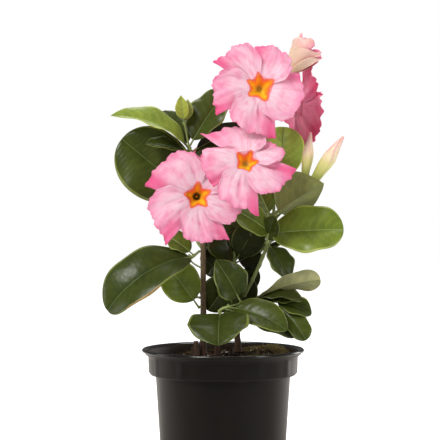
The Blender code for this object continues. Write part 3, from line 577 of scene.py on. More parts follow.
class Cluster:
    """Corners, faces and finishes of many small things that become one mesh."""

    def __init__(self):
        self.corners, self.count = [], 0
        self.quads, self.quad_coats = [], []
        self.tris, self.tri_coats = [], []
        self.coats, self.marks = [], {}

    def coat(self, name):
        """Number of a finish on this mesh."""
        if name not in self.coats:
            self.coats.append(name)
        return self.coats.index(name)

    def add(self, corners, quads, coats, tris=(), tri_coat=None, **marks):
        """Add one thing; coats is one finish, or one for each quad, with tri_coat beside it."""
        if isinstance(coats, str):
            worn = np.full(len(quads), self.coat(coats))
            tri_coat = tri_coat or coats
        else:
            worn = np.array([self.coat(name) for name in coats], int)
        self.quads.append(np.asarray(quads, int) + self.count)
        self.quad_coats.append(worn)
        if len(tris):
            self.tris.append(np.asarray(tris, int) + self.count)
            self.tri_coats.append(np.full(len(tris), self.coat(tri_coat)))
        for key, values in marks.items():
            self.marks.setdefault(key, []).append((self.count, values.reshape(len(values), -1)))
        self.corners.append(corners)
        self.count += len(corners)

    def add_limb(self, line, radii, sides, coat, **marks):
        """Add a round limb along a line."""
        corners, quads, tris = swept(np.array(line, float), radii, sides)
        spread = {key: np.full(len(corners), value) for key, value in marks.items()}
        self.add(corners, quads, coat, tris, **spread)

    def add_sheet(self, front, back, coats, **marks):
        """Add a thin closed sheet: finishes of front, back and rim, marks of front and back."""
        corners = np.concatenate([front.reshape(-1, 3), back.reshape(-1, 3)])
        faces = sheet_quads(*front.shape[:2])
        worn = []
        for coat, quads in zip(coats, faces):
            worn += [coat] * len(quads) if isinstance(coat, str) else list(coat)
        half = len(corners) // 2
        spread = {key: np.concatenate([side.reshape(half, -1) for side in sides])
                  for key, sides in marks.items()}
        self.add(corners, np.concatenate(faces), worn, **spread)

    def mark_mesh(self, mesh):
        """Write the marks on the mesh's corners, as a map where they have two numbers."""
        loops = np.empty(len(mesh.loops), np.int32)
        mesh.loops.foreach_get("vertex_index", loops)
        for key, groups in self.marks.items():
            values = np.zeros((self.count, groups[0][1].shape[1]), np.float32)
            for start, group in groups:
                values[start:start + len(group)] = group
            if values.shape[1] == 2:
                layer = mesh.uv_layers.new(name=key)
                layer.uv.foreach_set("vector", values[loops].ravel())
            else:
                layer = mesh.attributes.new(key, "FLOAT", "POINT")
                layer.data.foreach_set("value", values.ravel())

    def make(self, name, slot, coats, nodes=()):
        """Make the mesh, hang it on the root frame and hide the solids of the nodes it stands for.
        """
        mesh = bpy.data.meshes.new(name)
        faces = [tuple(f) for group in self.quads + self.tris for f in group.tolist()]
        mesh.from_pydata((np.concatenate(self.corners) * MM).tolist(), [], faces)
        worn = np.concatenate(self.quad_coats + self.tri_coats)
        mesh.polygons.foreach_set("material_index", worn.astype(np.int32))
        for coat in self.coats:
            mesh.materials.append(coats[coat])
        self.mark_mesh(mesh)
        mesh.update()
        mesh.shade_smooth()
        made = bpy.data.objects.new(name, mesh)
        bpy.context.scene.collection.objects.link(made)
        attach(made, "root")
        if nodes:
            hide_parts(*nodes)


def grid(rows, columns):
    """Row and column numbers of the cells of a grid, row by row."""
    r, c = np.meshgrid(np.arange(rows), np.arange(columns), indexing="ij")
    return r.ravel(), c.ravel()


def sheet_quads(rows, columns):
    """Quads of a closed thin sheet: its front, its back and its rim."""
    under = rows * columns
    last, end = columns - 1, (rows - 1) * columns
    r, c = grid(rows - 1, columns - 1)
    at = r * columns + c
    front = np.stack([at, at + columns, at + columns + 1, at + 1], 1)
    back = front[:, ::-1] + under
    low = np.arange(rows - 1) * columns
    high = low + last
    foot = np.arange(columns - 1)
    head = foot + end
    rim = [np.stack([low, low + under, low + columns + under, low + columns], 1),
           np.stack([high, high + columns, high + columns + under, high + under], 1),
           np.stack([foot, foot + 1, foot + 1 + under, foot + under], 1),
           np.stack([head, head + under, head + 1 + under, head + 1], 1)]
    return front, back, np.concatenate(rim)


def tube_faces(rings, sides):
    """Quads between rings of corners, and triangles to the two middle corners after them."""
    k, s = grid(rings - 1, sides)
    k, n = k * sides, (s + 1) % sides
    quads = np.stack([k + s, k + n, k + sides + n, k + sides + s], 1)
    s = np.arange(sides)
    n = (s + 1) % sides
    foot, top = np.full(sides, rings * sides), (rings - 1) * sides
    tris = [np.stack([foot, n, s], 1), np.stack([foot + 1, top + s, top + n], 1)]
    return quads, np.concatenate(tris)


def unit(v):
    """Vectors of an array made one long."""
    return v / np.maximum(np.linalg.norm(v, axis=-1, keepdims=True), 1e-12)


def numbers(v):
    """A vector as an array."""
    return np.array(tuple(v), float)


def bell(x, middle, width):
    """Soft bump, 1 at its middle."""
    return np.exp(-((x - middle) / width) ** 2)


def eased_step(x):
    """Soft step from 0 to 1."""
    x = np.clip(x, 0, 1)
    return x * x * (3 - 2 * x)


def eased(points, step=1.5):
    """Smooth line through points, with a point about every step mm."""
    line = np.array([tuple(p) for p in points], float)
    ends = np.concatenate([[2 * line[0] - line[1]], line, [2 * line[-1] - line[-2]]])
    drawn = []
    for k in range(1, len(ends) - 2):
        a, b, c, d = ends[k - 1:k + 3]
        count = max(2, int(np.linalg.norm(c - b) / step))
        for t in np.arange(count) / count:
            drawn.append(0.5 * (2 * b + (c - a) * t + (2 * a - 5 * b + 4 * c - d) * t * t
                                + (3 * b - a - 3 * c + d) * t ** 3))
    return np.array(drawn + [line[-1]])


def swept(line, radii, sides, shape=None):
    """Corners, quads and end triangles of a round limb of changing radius along a line."""
    radii = np.interp(np.linspace(0, 1, len(line)), np.linspace(0, 1, len(radii)), radii)
    ahead = unit(np.gradient(line, axis=0))
    side = np.cross(ahead[0], [0.3, 1.0, 0.1] if abs(ahead[0][1]) < 0.9 else [1.0, 0.2, 0.1])
    turn = np.linspace(0, FULL_TURN, sides, endpoint=False)
    rings = []
    for k, (point, way) in enumerate(zip(line, ahead)):
        side = side - way * side.dot(way)
        side = side / np.linalg.norm(side)
        reach = radii[k] * (shape(k / (len(line) - 1), turn) if shape else np.ones(sides))
        spokes = side * np.cos(turn)[:, None] + np.cross(way, side) * np.sin(turn)[:, None]
        rings.append(point + spokes * reach[:, None])
    corners = np.concatenate(rings + [[line[0]], [line[-1]]])
    return corners, *tube_faces(len(line), sides)


# Leaves ----------------------------------------------------------------------------------

LEAF_TONES = {
    "foliage_upper_left": ("glossy", "spring", "dark", "glossy", "dark", "shade", "deep",
                           "young", "young", "mid"),
    "foliage_lower_left": ("dark", "mid"),
    "foliage_low_left": ("fresh",),
    "foliage_front": ("dark", "dark", "glossy", "dark"),
    "foliage_inner": ("deep", "deep", "deep", "glossy", "deep", "deep", "deep", "shade",
                      "shade", "shade", "deep"),
    "foliage_lower_right": ("grey", "deep", "glossy", "glossy", "dark"),
    "foliage_right": ("fresh", "mid", "dark", "olive", "mid", "glossy"),
    "foliage_top_right": ("lit",),
    "foliage_back_left": ("mid", "glossy", "fresh", "mid", "glossy", "mid", "fresh", "mid",
                          "glossy", "mid"),
    "foliage_back_right": ("glossy", "mid", "mid", "fresh", "mid", "glossy", "mid", "fresh",
                           "mid", "glossy"),
    "foliage_back_low": ("glossy", "mid", "deep", "glossy", "mid", "glossy", "mid"),
}
# Leaves that don't grow, because they would leave the mass's space or touch a limb
SKIPPED = {"foliage_back_left": (3,), "foliage_back_right": (1, 3, 6),
           "foliage_back_low": (1, 3)}
# Part of a leaf's edge that has turned: side of the midrib, from and to along the blade,
# share of the half blade, finish
TURNED = {("foliage_lower_left", 0): (1, 0.46, 0.82, 0.925, "scorched"),
          ("foliage_lower_right", 4): (1, 0.55, 0.80, 0.90, "yellowed")}
# Parts of some leaves that are drawn otherwise than in the solids
REDRAWN = {
    ("foliage_right", 0): {"outline": "broad", "petiole": 3.0},
    ("foliage_right", 1): {"outline": "broad", "place": 0.46, "tip": (8.5, -33, 264), "width": 29,
                           "petiole": 0.5},
    ("foliage_inner", 2): {"tip": (-15, 13, 202), "width": 34},
    ("foliage_inner", 4): {"tip": (-14, 10, 169), "width": 36},
    ("foliage_upper_left", 1): {"width": 36},
    ("foliage_right", 3): {"outline": "pointed"},
    ("foliage_lower_right", 0): {"twist": -68, "width": 29},
    ("foliage_lower_left", 0): {"petiole": 2.5},
    ("foliage_front", 1): {"facing": (4, -9, 2), "arch": 24},
    ("foliage_front", 3): {"tip": (65, -25, 147), "width": 29},
}
# Small leaves without a solid of their own, in the same order of values as FOLIAGE's
MORE_LEAVES = {
    "foliage_inner": ((0.05, (31, 14, 190), 28, 20, (1, -10, -1), 10, 0, "oval"),
                      (0.25, (35, 14, 224), 32, 20, (1, -10, 1), 10, 0, "oval"),
                      (0.05, (-15, 17, 238), 36, 20, (1, -10, 1), 10, 0, "oval"),
                      (0.60, (25, 16, 264), 30, 20, (1, -10, 1), 10, 0, "oval"),
                      (0.03, (25, 12, 174), 26, 16, (1, -10, 0), 10, 0, "oval")),
    "foliage_right": ((0.95, (29, -7, 287), 26, 16, (1, -9, 2), 12, 0, "oval"),
                      (0.02, (47, -20, 257), 21, 20, (-2, -9, 3), 12, 0, "oval")),
    "foliage_back_left": ((0.05, (-30, 80, 240), 30, 28, (-1, 5, 8), 14, 0, "oval"),
                          (0.12, (-3, 62, 238), 27, 24, (1, 5, 8), 14, 0, "oval")),
    "foliage_back_right": ((0.06, (54, 82, 237), 31, 28, (1, 6, 7), 14, 0, "oval"),
                           (0.06, (80, 34, 238), 28, 24, (3, -2, 9), 14, 0, "oval")),
    "foliage_back_low": ((0.98, (4, 86, 189), 29, 26, (0, 2, 9), 14, 0, "oval"),
                         (0.80, (-30, 78, 177), 26, 28, (-1, 2, 9), 14, 0, "oval"),
                         (0.80, (40, 72, 177), 28, 28, (1, 2, 9), 14, 0, "oval")),
}
# What each value of a leaf is
LEAF_PARTS = ("place", "tip", "width", "arch", "facing", "fold", "twist", "outline", "petiole")
LEAF_THICK = 0.42
# Half width that a blade keeps at its two ends, and about how far its side veins stand apart
TIP_HALF = 0.35
VEIN_SPACING = 8.5
# Largest share of a leaf's length that its petiole takes
PETIOLE_SHARE = 0.16
PETIOLE_POINTS = 7
SCALE_THICK = 0.14
DARK_TONES = ("deep", "shade", "dark", "glossy")
# Places of a blade's columns of corners, from beside the midrib to the edge
BLADE_COLUMNS = (0.20, 0.34, 0.50, 0.66, 0.80, 0.92, 1.0)


def blade_halves(shares, width, outline):
    """Half widths of a blade at shares of its length."""
    foot, tip = OUTLINES[outline]
    inner = np.clip(shares, 1e-6, 1 - 1e-6)
    peak = (foot / (foot + tip)) ** foot * (tip / (foot + tip)) ** tip
    return np.maximum(TIP_HALF, width / 2 * inner ** foot * (1 - inner) ** tip / peak)


def blade_columns(half):
    """Places across the blade at each row, from edge to edge, -1 to 1."""
    rib = np.minimum(0.45 / half, 0.10)
    inner = [rib, np.minimum(2.3 * rib, 0.17)]
    right = np.stack(inner + [np.full_like(half, c) for c in BLADE_COLUMNS], 1)
    return np.concatenate([-right[:, ::-1], np.zeros((len(half), 1)), right], 1)


def side_veins(shares, across, span, half):
    """How near each point lies to one of the side veins, 0 to 1."""
    count = max(4, round(span / VEIN_SPACING))
    near = np.zeros_like(across)
    beside = np.abs(across)
    lean = (0.42 * beside + 0.30 * beside ** 2) * float(half.max()) / span
    for k in range(count):
        gap = (shares[:, None] - (k + 0.45) / (count + 0.9) - lean) * span
        near = np.maximum(near, bell(gap, 0, 0.85))
    return near * np.clip(1.25 - beside, 0, 1) * np.clip(beside * 6, 0, 1)


def blade_sides(rule, shares, across, half, span, fold, veins):
    """Sideways place of each point of a blade, and the height of its two sides there."""
    beside, run, wide = np.abs(across), shares[:, None], half[:, None]
    tilt = math.radians(fold)
    waves, sway = rule.uniform(1.6, 2.8), rule.uniform(0.05, 0.10)
    phases = (rule.uniform(0, 6.3), rule.uniform(0, 6.3))
    swing = np.where(across < 0, *phases) + run * waves * FULL_TURN
    rise = beside * wide * math.sin(tilt)
    rise = rise + wide * (0.05 * np.sin(math.pi * beside) - 0.05 * beside ** 5)
    rise = rise + wide * sway * beside ** 3 * np.sin(swing)
    bend = rule.uniform(-0.018, 0.018) * span * np.sin(math.pi * run)
    offset = across * wide
    rib = bell(offset, 0, 0.75)
    ripe = min(1.0, span / 40)
    upper = rise + LEAF_THICK / 2 - ripe * (0.42 * veins + 0.40 * rib)
    lower = rise - LEAF_THICK / 2 - ripe * (0.10 * veins + 0.75 * rib * (1 - run))
    return offset * math.cos(tilt) + bend, upper, lower


def blade_coats(key, tone, shares, across):
    """Finishes of the upper side, the lower side and the rim of a blade."""
    r, c = grid(across.shape[0] - 1, across.shape[1] - 1)
    columns = across.shape[1]
    inner = np.abs(c + 0.5 - (columns - 1) / 2) < 1.0
    outer = (c == 0) | (c == columns - 2)
    upper = np.where(inner, "midrib_dark" if tone in DARK_TONES else "midrib", f"{tone}_upper")
    # The outermost columns get the edge tone: pale margin, and partly a painted highlight.
    upper = np.where(outer, f"{tone}_edge", upper)
    under = np.where(inner, "midrib_under", f"{tone}_under")
    if key in TURNED:
        hand, low, high, reach, coat = TURNED[key]
        place = hand * (across[r, c] + across[r, c + 1]) / 2
        ragged = reach + 0.02 * np.sin(shares[r] * 60)
        ragged = ragged + 0.9 * np.abs(shares[r] - (low + high) / 2) ** 2
        patch = (shares[r] > low) & (shares[r] < high) & (place > ragged)
        upper, under = np.where(patch, coat, upper), np.where(patch, coat, under)
    return upper, under, f"{tone}_edge"


def rolled(way, heading, turn):
    """Directions turned about the headings of a line."""
    return way * np.cos(turn)[:, None] + np.cross(heading, way) * np.sin(turn)[:, None]


def grow_leaf(cluster, twigs, key, root, leaf, tone):
    """Add a leaf with its relief to the leaves and its petiole to the twigs."""
    tip, width, arch, facing, fold, twist, outline, petiole = leaf
    length, *ways = leaf_frame(root, tip, facing)
    root, forward, side, normal = (numbers(v) for v in (root, *ways))
    petiole = min(petiole / length, PETIOLE_SHARE)
    span = length * (1 - petiole)
    even = np.linspace(0, 1, int(min(80, max(18, length * 0.95))))
    shares = 0.4 * even + 0.3 * (1 - np.cos(math.pi * even))
    places = petiole + (1 - petiole) * shares
    spine, heading, up = bent(root, forward, normal, length, arch, places)
    turn = np.radians(twist) * shares
    side, up = rolled(side, heading, turn), rolled(up, heading, turn)
    half = blade_halves(shares, width, outline)
    across = blade_columns(half)
    veins = side_veins(shares, across, span, half)
    rule = random.Random(f"{key}")
    beside, upper, lower = blade_sides(rule, shares, across, half, span, fold, veins)
    middle = spine[:, None] + side[:, None] * beside[..., None]
    cluster.add_sheet(middle + up[:, None] * upper[..., None],
                      middle + up[:, None] * lower[..., None],
                      blade_coats(key, tone, shares, across), vein=(veins, veins))
    run = np.linspace(-LEAF_SUNK / length, petiole + 0.06, PETIOLE_POINTS)
    line, _, _ = bent(root, forward, normal, length, arch, run)
    line = line - normal * np.linspace(0, 0.35, PETIOLE_POINTS)[:, None]
    thin = max(0.5, min(0.95, width / 36))
    twigs.add_limb(line, (thin * 1.15, thin, thin * 0.9, thin * 0.5), 8, "stalk")


def bent(root, forward, normal, length, arch, t):
    """Points, headings and upper directions along an arched midrib."""
    half = math.radians(arch) / 2
    slope = half * (1 - 2 * t)
    radius = length / (2 * math.sin(half))
    ahead = radius * (math.sin(half) - np.sin(slope))
    lift = radius * (np.cos(slope) - math.cos(half))
    line = root + forward * ahead[:, None] + normal * lift[:, None]
    cos, sin = np.cos(slope)[:, None], np.sin(slope)[:, None]
    return line, forward * cos + normal * sin, normal * cos - forward * sin


def grow_twig(twigs, key, points, radii, roots):
    """Add a twig, swollen where its leaves spring, with a pair of scales at each."""
    line = eased(points, 1.2)
    roots = [numbers(root) for root in roots]
    girth = np.interp(np.linspace(0, 1, len(line)), np.linspace(0, 1, len(radii)), radii)
    for root in roots:
        girth = girth * (1 + 0.35 * bell(np.linalg.norm(line - root, axis=1), 0, 1.8))
    girth[-1] *= 0.6
    twigs.add_limb(line, girth, 10, "shoot")
    rule = random.Random(f"{key} scales")
    for root in roots:
        for _ in range(2):
            way = unit(np.array([rule.gauss(0, 1), rule.gauss(0, 1), 1.1 + rule.gauss(0, 0.4)]))
            scale(twigs, root, way, rule.uniform(2.0, 3.6), 0.8)


def scale(cluster, root, way, length, width, cup=0.25):
    """Add a small pointed bract or sepal that bows along its way."""
    side = unit(np.cross(way, [0.2, 0.9, 0.3]))
    up = np.cross(way, side)
    t = np.linspace(0, 1, 7)[:, None]
    c = np.linspace(-1, 1, 5)[None]
    half = width * np.sin(np.clip(t * 0.86 + 0.14, 0, 1) * math.pi) ** 0.8 + 0.06
    bowed = length * cup * np.sin(t * 1.6) - half * 0.5 * c ** 2
    points = (root + way * (length * t)[..., None] + side * (half * c)[..., None]
              + up * bowed[..., None])
    cluster.add_sheet(points, points - up * SCALE_THICK, ("sepal", "sepal", "sepal"))


def back_leaves(name, lines):
    """Twig and leaves, by rule, of a mass of foliage at the back."""
    limb, place, end, pairs, heading, length = BACK_FOLIAGE[name]
    start = spring(lines[limb], place, end, BACK_TWIG[0])
    twig = [start, start.lerp(Vector(end), 0.5), Vector(end)]
    return twig, BACK_TWIG, ruled_leaves(name, twig, pairs, heading, length)


def front_leaves(name, lines):
    """Twig and leaves of a mass of foliage that is drawn leaf by leaf."""
    limb, place, further, low, high, leaves = FOLIAGE[name]
    start = spring(lines[limb], place, further[0], low)
    return [start] + [Vector(p) for p in further], (low, high), leaves


def grow_mass(name, lines, coats):
    """Grow a mass of foliage from its limb: its twig, leaves and petioles."""
    drawn = front_leaves if name in FOLIAGE else back_leaves
    twig, radii, leaves = drawn(name, lines)
    blades, twigs, roots = Cluster(), Cluster(), []
    for index, row in enumerate([*leaves, *MORE_LEAVES.get(name, ())]):
        if index in SKIPPED.get(name, ()):
            continue
        parts = dict(zip(LEAF_PARTS, (*row, PETIOLE)))
        place, *leaf = (parts | REDRAWN.get((name, index), {})).values()
        root = along(twig, place)
        roots.append(root)
        grow_leaf(blades, twigs, (name, index), root, leaf, LEAF_TONES[name][index])
    grow_twig(twigs, name, twig, radii, roots)
    blades.make(f"leaves_{own_name(name)}", "foliage", coats, (name,))
    twigs.make(f"twigs_{own_name(name)}", "foliage", coats, (name,))


def own_name(name):
    """What follows the kind in a node's name."""
    return name.partition("_")[2]


# Blossom ---------------------------------------------------------------------------------

# Share of the radius that a petal reaches, from its round side to its corner
PETAL_RIM = ((0.0, 0.82), (0.05, 0.87), (0.13, 0.925), (0.25, 0.965), (0.43, 0.985),
             (0.62, 0.985), (0.75, 1.0), (0.87, 1.035), (0.96, 1.085), (1.0, 1.10))
PETAL_COLUMNS = 57
PETAL_ROWS = 44
PETAL_SKIN = 0.32
# Radius and height of the funnel's rings, inside from the mouth and outside from the foot
THROAT_INSIDE = ((10.0, 1.0), (8.8, -0.8), (7.2, -3.0), (5.6, -5.6), (4.2, -8.2), (3.1, -10.6),
                 (2.4, -13.5))
TUBE_OUTSIDE = ((2.0, -44.0), (2.2, -40.0), (2.3, -33.0), (2.6, -26.0), (3.9, -19.0),
                (5.9, -12.0), (8.0, -5.5), (9.6, -1.6), (10.5, 0.5))
THROAT_SIDES = 60
BUD_RINGS = 46
BUD_SIDES = 40
OPENING_ROWS = 30
OPENING_COLUMNS = 25
# A closed bud's pleats: how deep, how far round they wind, and its girth against the solid's
PLEAT_DEPTH = 0.20
PLEAT_TWIST = 2.4
BUD_SWELL = 1.14
# Where the petals of a flower meet, degrees, how far each one's corner is drawn out, and how
# deep the cleft before it is
SEAMS = {"bloom_top": ((28, 100, 155, 216, 290), (0.2, 0.5, 1, 1, 1), (0, 0.05, 0.08, 0.1, 0.06)),
         "bloom_front_left": ((20, 88, 174, 240, 309), (1, 0.2, 1, 1, 1),
                              (0.05, 0.02, 0.12, 0.06, 0.10)),
         "bloom_middle": ((-8, 62, 138, 224, 284), (1, 0.6, 1.2, 0.3, 1),
                          (0.05, 0.10, 0.05, 0.34, 0.10))}
# How much painted shade darkens the deep of a flower's throat, 0 to 1, and how large its orange
# star is against the others
HEART_SHADE = {"bloom_top": 0.15, "bloom_middle": 0.1, "bloom_front_left": 0.85}
STAR_SIZE = {"bloom_top": 1.10, "bloom_middle": 0.88}


def star_share(r, gap):
    """Depth of the orange star at a radius, by the angle to the nearest petal seam."""
    edge = 8.8 + 4.0 * bell(gap, 0, 0.22)
    return np.clip((edge - r) / 6.5 + 0.16, 0, 1)


def flower_place(flower, angle, r, height):
    """Corners of a flower from angle, radius and height, its upper part tipped back."""
    centre, (right, up, outward), lean = flower
    x, rise = r * np.cos(angle), r * np.sin(angle)
    turn = math.radians(lean) * np.clip(rise / LEAN_START, 0, 1) * (r > THROAT_MOUTH * 0.98)
    height = height - rise * np.sin(turn)
    rise = rise * np.cos(turn)
    return centre + right * x[..., None] + up * rise[..., None] + outward * height[..., None]


def petal_rim(u, size, point, notch, phases):
    """Radius of a petal's frilled edge, from its round side to its drawn-out corner."""
    a, b, c, _ = phases
    rim = np.interp(u, *zip(*PETAL_RIM))
    rim = (rim - (1 - point) * (np.maximum(rim, 0.985) - 0.985 + 0.14 * u ** 6)) * size
    frills = 1 - notch * bell(u, 0, 0.22)
    for height, waves, phase in ((0.018, 2.7, a), (0.013, 6.3, b), (0.008, 11.3, c)):
        frills = frills + height * np.sin(FULL_TURN * (waves * u + phase))
    return rim * frills


def petal_creases(u, v, phases):
    """Depth of the three soft creases that run down a petal."""
    a, b, c, _ = phases
    creased = 0.0
    for bend, size in ((a, 1.5), (1 - c, 1.0), (b, 0.7)):
        fold = bell(u - 0.16 * (v - 0.5), 0.12 + 0.74 * bend, 0.05)
        creased = creased + size * fold * np.sin(math.pi * np.clip(v * 1.08, 0, 1)) ** 2
    return creased


def petal_height(u, v, place, phases):
    """Height of a petal over the plane of its flower, before its creases."""
    a, b, c, d = phases
    height = 1.0 + 5.3 * np.sin(np.clip(v / 0.62, 0, 1) * math.pi / 2)
    height = height - 1.6 * np.clip(v - 0.62, 0, 1)
    height = height + 1.35 * PETAL_LIFT * (0.5 - place) * v ** 1.2
    height = height + 1.7 * v ** 2 * np.sin(FULL_TURN * (1.15 * u + a))
    height = height + 1.1 * v ** 2.5 * np.sin(FULL_TURN * (2.6 * u + 0.6 * v + b))
    ruffle = np.sin(FULL_TURN * (6.2 * u + c + 0.3 * np.sin(FULL_TURN * u)))
    height = height + 1.10 * v ** 6 * ruffle
    height = height + 1.6 * bell(u, 0, 0.16) * v ** 2 * np.sin(FULL_TURN * (1.3 * v + d))
    height = height - 2.6 * bell(u, 1, 0.16) * v ** 6
    return height - 0.35 * bell(u, 0.52, 0.05) * np.sin(math.pi * v)


def petal_tints(u, v, creased, phase, vivid):
    """How deep a pink, with painted shade, and how pale, with a painted highlight, each point of a
    petal is.
    """
    ruffle = 0.4 + 0.6 * np.sin(FULL_TURN * (1.7 * u + phase)) ** 2
    blush = 0.85 * bell(u, 1, 0.20) * eased_step((v - 0.35) / 0.6)
    # Deeper pink at the frilled rim, and painted shade along the creases.
    blush = blush + 0.50 * eased_step((v - 0.90) / 0.10) * ruffle + 0.22 * creased * v
    # Painted shadow: deeper pink just under the edge of the next petal, which overlaps it.
    blush = blush * vivid + 0.35 * bell(u, 0.90, 0.07) * np.sin(math.pi * v) ** 0.5
    pale = (1 - eased_step((v - 0.10) / 0.72)) * (0.65 + 0.35 * np.sin(math.pi * u))
    # A paler band across the petal, and a painted highlight along its raised first edge.
    pale = pale + (0.55 * bell(u, 0.38, 0.22) + 0.8 * bell(u, 0, 0.035)) * np.sin(math.pi * v)
    return np.clip(blush, 0, 1), np.clip(pale, 0, 1)


def grow_petal(cluster, key, flower, radius, star_size, petal):
    """Add a petal: round ruffled edge in front on one side, drawn-out corner on the other."""
    start, corner, reach, point, notch = petal
    rule = random.Random(key)
    u = np.linspace(0, 1, PETAL_COLUMNS)[None]
    v = np.linspace(0, 1, PETAL_ROWS)[:, None] ** 0.9
    low = -0.16 * (1 - eased_step((v - 0.55) / 0.45)) - 0.04
    high = 1.06 - 0.10 * eased_step((v - 0.30) / 0.7)
    place = low + (high - low) * u
    phases = [rule.uniform(0, 1) for _ in range(4)]
    inner = THROAT_MOUTH - 0.6
    r = inner + (petal_rim(u, radius * reach, point, notch, phases) - inner) * v
    angle = np.radians(start + (corner - start) * place)
    creased = petal_creases(u, v, phases)
    height = petal_height(u, v, place, phases) - creased
    gap = np.minimum(np.abs(place), np.abs(1 - place))
    star = star_share(r / star_size, gap) * (1 - 0.30 * np.sin(angle))
    blush, pale = petal_tints(u, v, creased, phases[1], rule.uniform(0.75, 1.0))
    lay = np.stack(np.broadcast_arrays(u + rule.randint(0, 40), v), -1)
    cluster.add_sheet(flower_place(flower, angle, r, height),
                      flower_place(flower, angle, r, height - PETAL_SKIN),
                      ("petal_face", "petal_back", "petal_face"), blush=(blush, blush),
                      pale=(pale, pale), star=(star, star * 0), lay=(lay, lay))


def grow_throat(cluster, flower, corners, hole, star_size):
    """Add a flower's funnel: the ribbed tube outside and the star-marked throat inside, with
    painted shade deep in it.
    """
    centre, axes, _ = flower
    turn = np.linspace(0, FULL_TURN, THROAT_SIDES, endpoint=False)
    seams = np.array(corners) % 360
    gap = np.min(np.abs((np.degrees(turn)[:, None] - seams + 180) % 360 - 180), axis=1) / 72
    ribs = np.cos(gap * FULL_TURN)
    inside = THROAT_INSIDE if hole > 0.5 else THROAT_INSIDE[:5]
    rings = [(r * (1 + 0.07 * ribs), z) for r, z in TUBE_OUTSIDE]
    star = [np.zeros(THROAT_SIDES) for _ in rings]
    hollow = list(star)
    for r, z in inside:
        rings.append((r * (1 + 0.08 * ribs * min(1, r / 8)), z))
        star.append(star_share(r / star_size, gap) * (1 - 0.30 * np.sin(turn)))
        # Painted shade, deeper the further down the tube a ring lies, as much as hole asks.
        depth = min(1.0, max(0.0, (-z - 8.6) / 2.2)) * hole
        hollow.append(np.full(THROAT_SIDES, depth ** 1.4))
    upright = (centre, axes, 0.0)
    points = [flower_place(upright, turn, r, np.full(THROAT_SIDES, z)) for r, z in rings]
    ends = [[centre + axes[2] * z] for z in (TUBE_OUTSIDE[0][1], inside[-1][1] - 1)]
    count = len(rings)
    quads, tris = tube_faces(count, THROAT_SIDES)
    ring = np.repeat(np.arange(count), THROAT_SIDES)
    coats = np.where(ring[:len(quads)] < len(TUBE_OUTSIDE) - 1, "petal_back", "petal_face")
    lay = np.stack([np.tile(turn / FULL_TURN * 5, count),
                    np.repeat(np.linspace(0, 0.2, count), THROAT_SIDES)], 1)
    cluster.add(np.concatenate(points + ends), quads, list(coats), tris, "petal_face",
                star=np.append(np.concatenate(star), (0, 1)),
                hollow=np.append(np.concatenate(hollow), (0, 1)),
                pale=np.append(np.where(ring < 5, 1.0, 0.8), (1, 1)),
                lay=np.concatenate([lay, lay[:2]]))


def grow_bloom(name, lines, coats):
    """Grow an open flower with its stalk, sepals and heart."""
    limb, place, throat, facing, radius, corners, reaches = BLOOMS[name]
    corners, points, notches = SEAMS.get(name, (corners, (1,) * 5, (0.08,) * 5))
    star_size = STAR_SIZE.get(name, 1.0)
    axes = [numbers(v) for v in facing_frame(facing)]
    flower = (numbers(throat), axes, LEAN_BACK.get(name, 0.0))
    corolla, green = Cluster(), Cluster()
    starts = (corners[-1] - 360, *corners[:-1])
    for index, petal in enumerate(zip(starts, corners, reaches, points, notches)):
        grow_petal(corolla, f"{name} {index}", flower, radius, star_size, petal)
    grow_throat(corolla, flower, corners, HEART_SHADE.get(name, 0.8), star_size)
    heart = [flower[0] + axes[2] * h for h in (-13, -10.5, -9.0, -7.5)]
    # The heart gets a little painted shade as well.
    corolla.add_limb(heart, (0.8, 1.0, 0.8, 0.3), 10, "petal_face", star=0.9, hollow=0.25)
    foot = Vector(throat) - Vector(facing).normalized() * TUBE_LENGTH
    line = stalk(spring(lines[limb], place, foot, PEDICEL), foot, facing)
    green.add_limb(eased(line), (1.2, 1.0, 1.15, 1.9), 12, "stalk")
    grow_sepals(green, name, numbers(foot), axes)
    corolla.make(f"petals_{own_name(name)}", "bloom", coats, (name,))
    green.make(f"stalk_{own_name(name)}", "bloom", coats, (name,))


def grow_sepals(cluster, name, foot, axes):
    """Add the five narrow sepals round the foot of a flower's tube."""
    right, up, outward = axes
    rule = random.Random(name)
    for k in range(5):
        turn = FULL_TURN * (k + 0.2) / 5
        side = right * math.cos(turn) + up * math.sin(turn)
        scale(cluster, foot + side * 1.5 - outward * 0.5, unit(outward + side * 0.30),
              rule.uniform(6.5, 8.5), 1.3, cup=0.05)


def pleat_share(turn, t):
    """How far across its pleat each point of a bud lies, 0 to 1."""
    return (turn + PLEAT_TWIST * t) * 5 / FULL_TURN % 1.0


def pleats(t, turn):
    """How much further out than its girth a bud's skin stands at a share of its length."""
    depth = PLEAT_DEPTH * eased_step((t - 0.25) / 0.2)
    saw = pleat_share(turn, t)
    return 1 + depth * (saw - 0.5) * np.minimum(1, (1 - saw) * 6)


def grow_bud(cluster, foot, tip, girths, stout):
    """Add a furled bud: petals wound round each other as low spiral pleats."""
    shares = np.linspace(0, 1, BUD_RINGS)
    girth = np.interp(shares, *zip(*girths)) * stout
    girth = np.convolve(np.pad(girth, 2, mode="edge"), np.ones(5) / 5, mode="valid")
    girth[-1] = girths[-1][1] * stout * 0.4
    line = foot + (tip - foot) * shares[:, None]
    corners, quads, tris = swept(line, girth, BUD_SIDES, pleats)
    rise = np.repeat(shares, BUD_SIDES)
    turn = np.tile(np.linspace(0, FULL_TURN, BUD_SIDES, endpoint=False), BUD_RINGS)
    seam = pleat_share(turn, rise) > 0.78
    blush = seam * eased_step((rise - 0.5) / 0.3) * 0.7
    cluster.add(corners, quads, "bud_skin", tris, rise=np.append(rise, (0, 1)),
                blush=np.append(blush, (0, 0.5)))


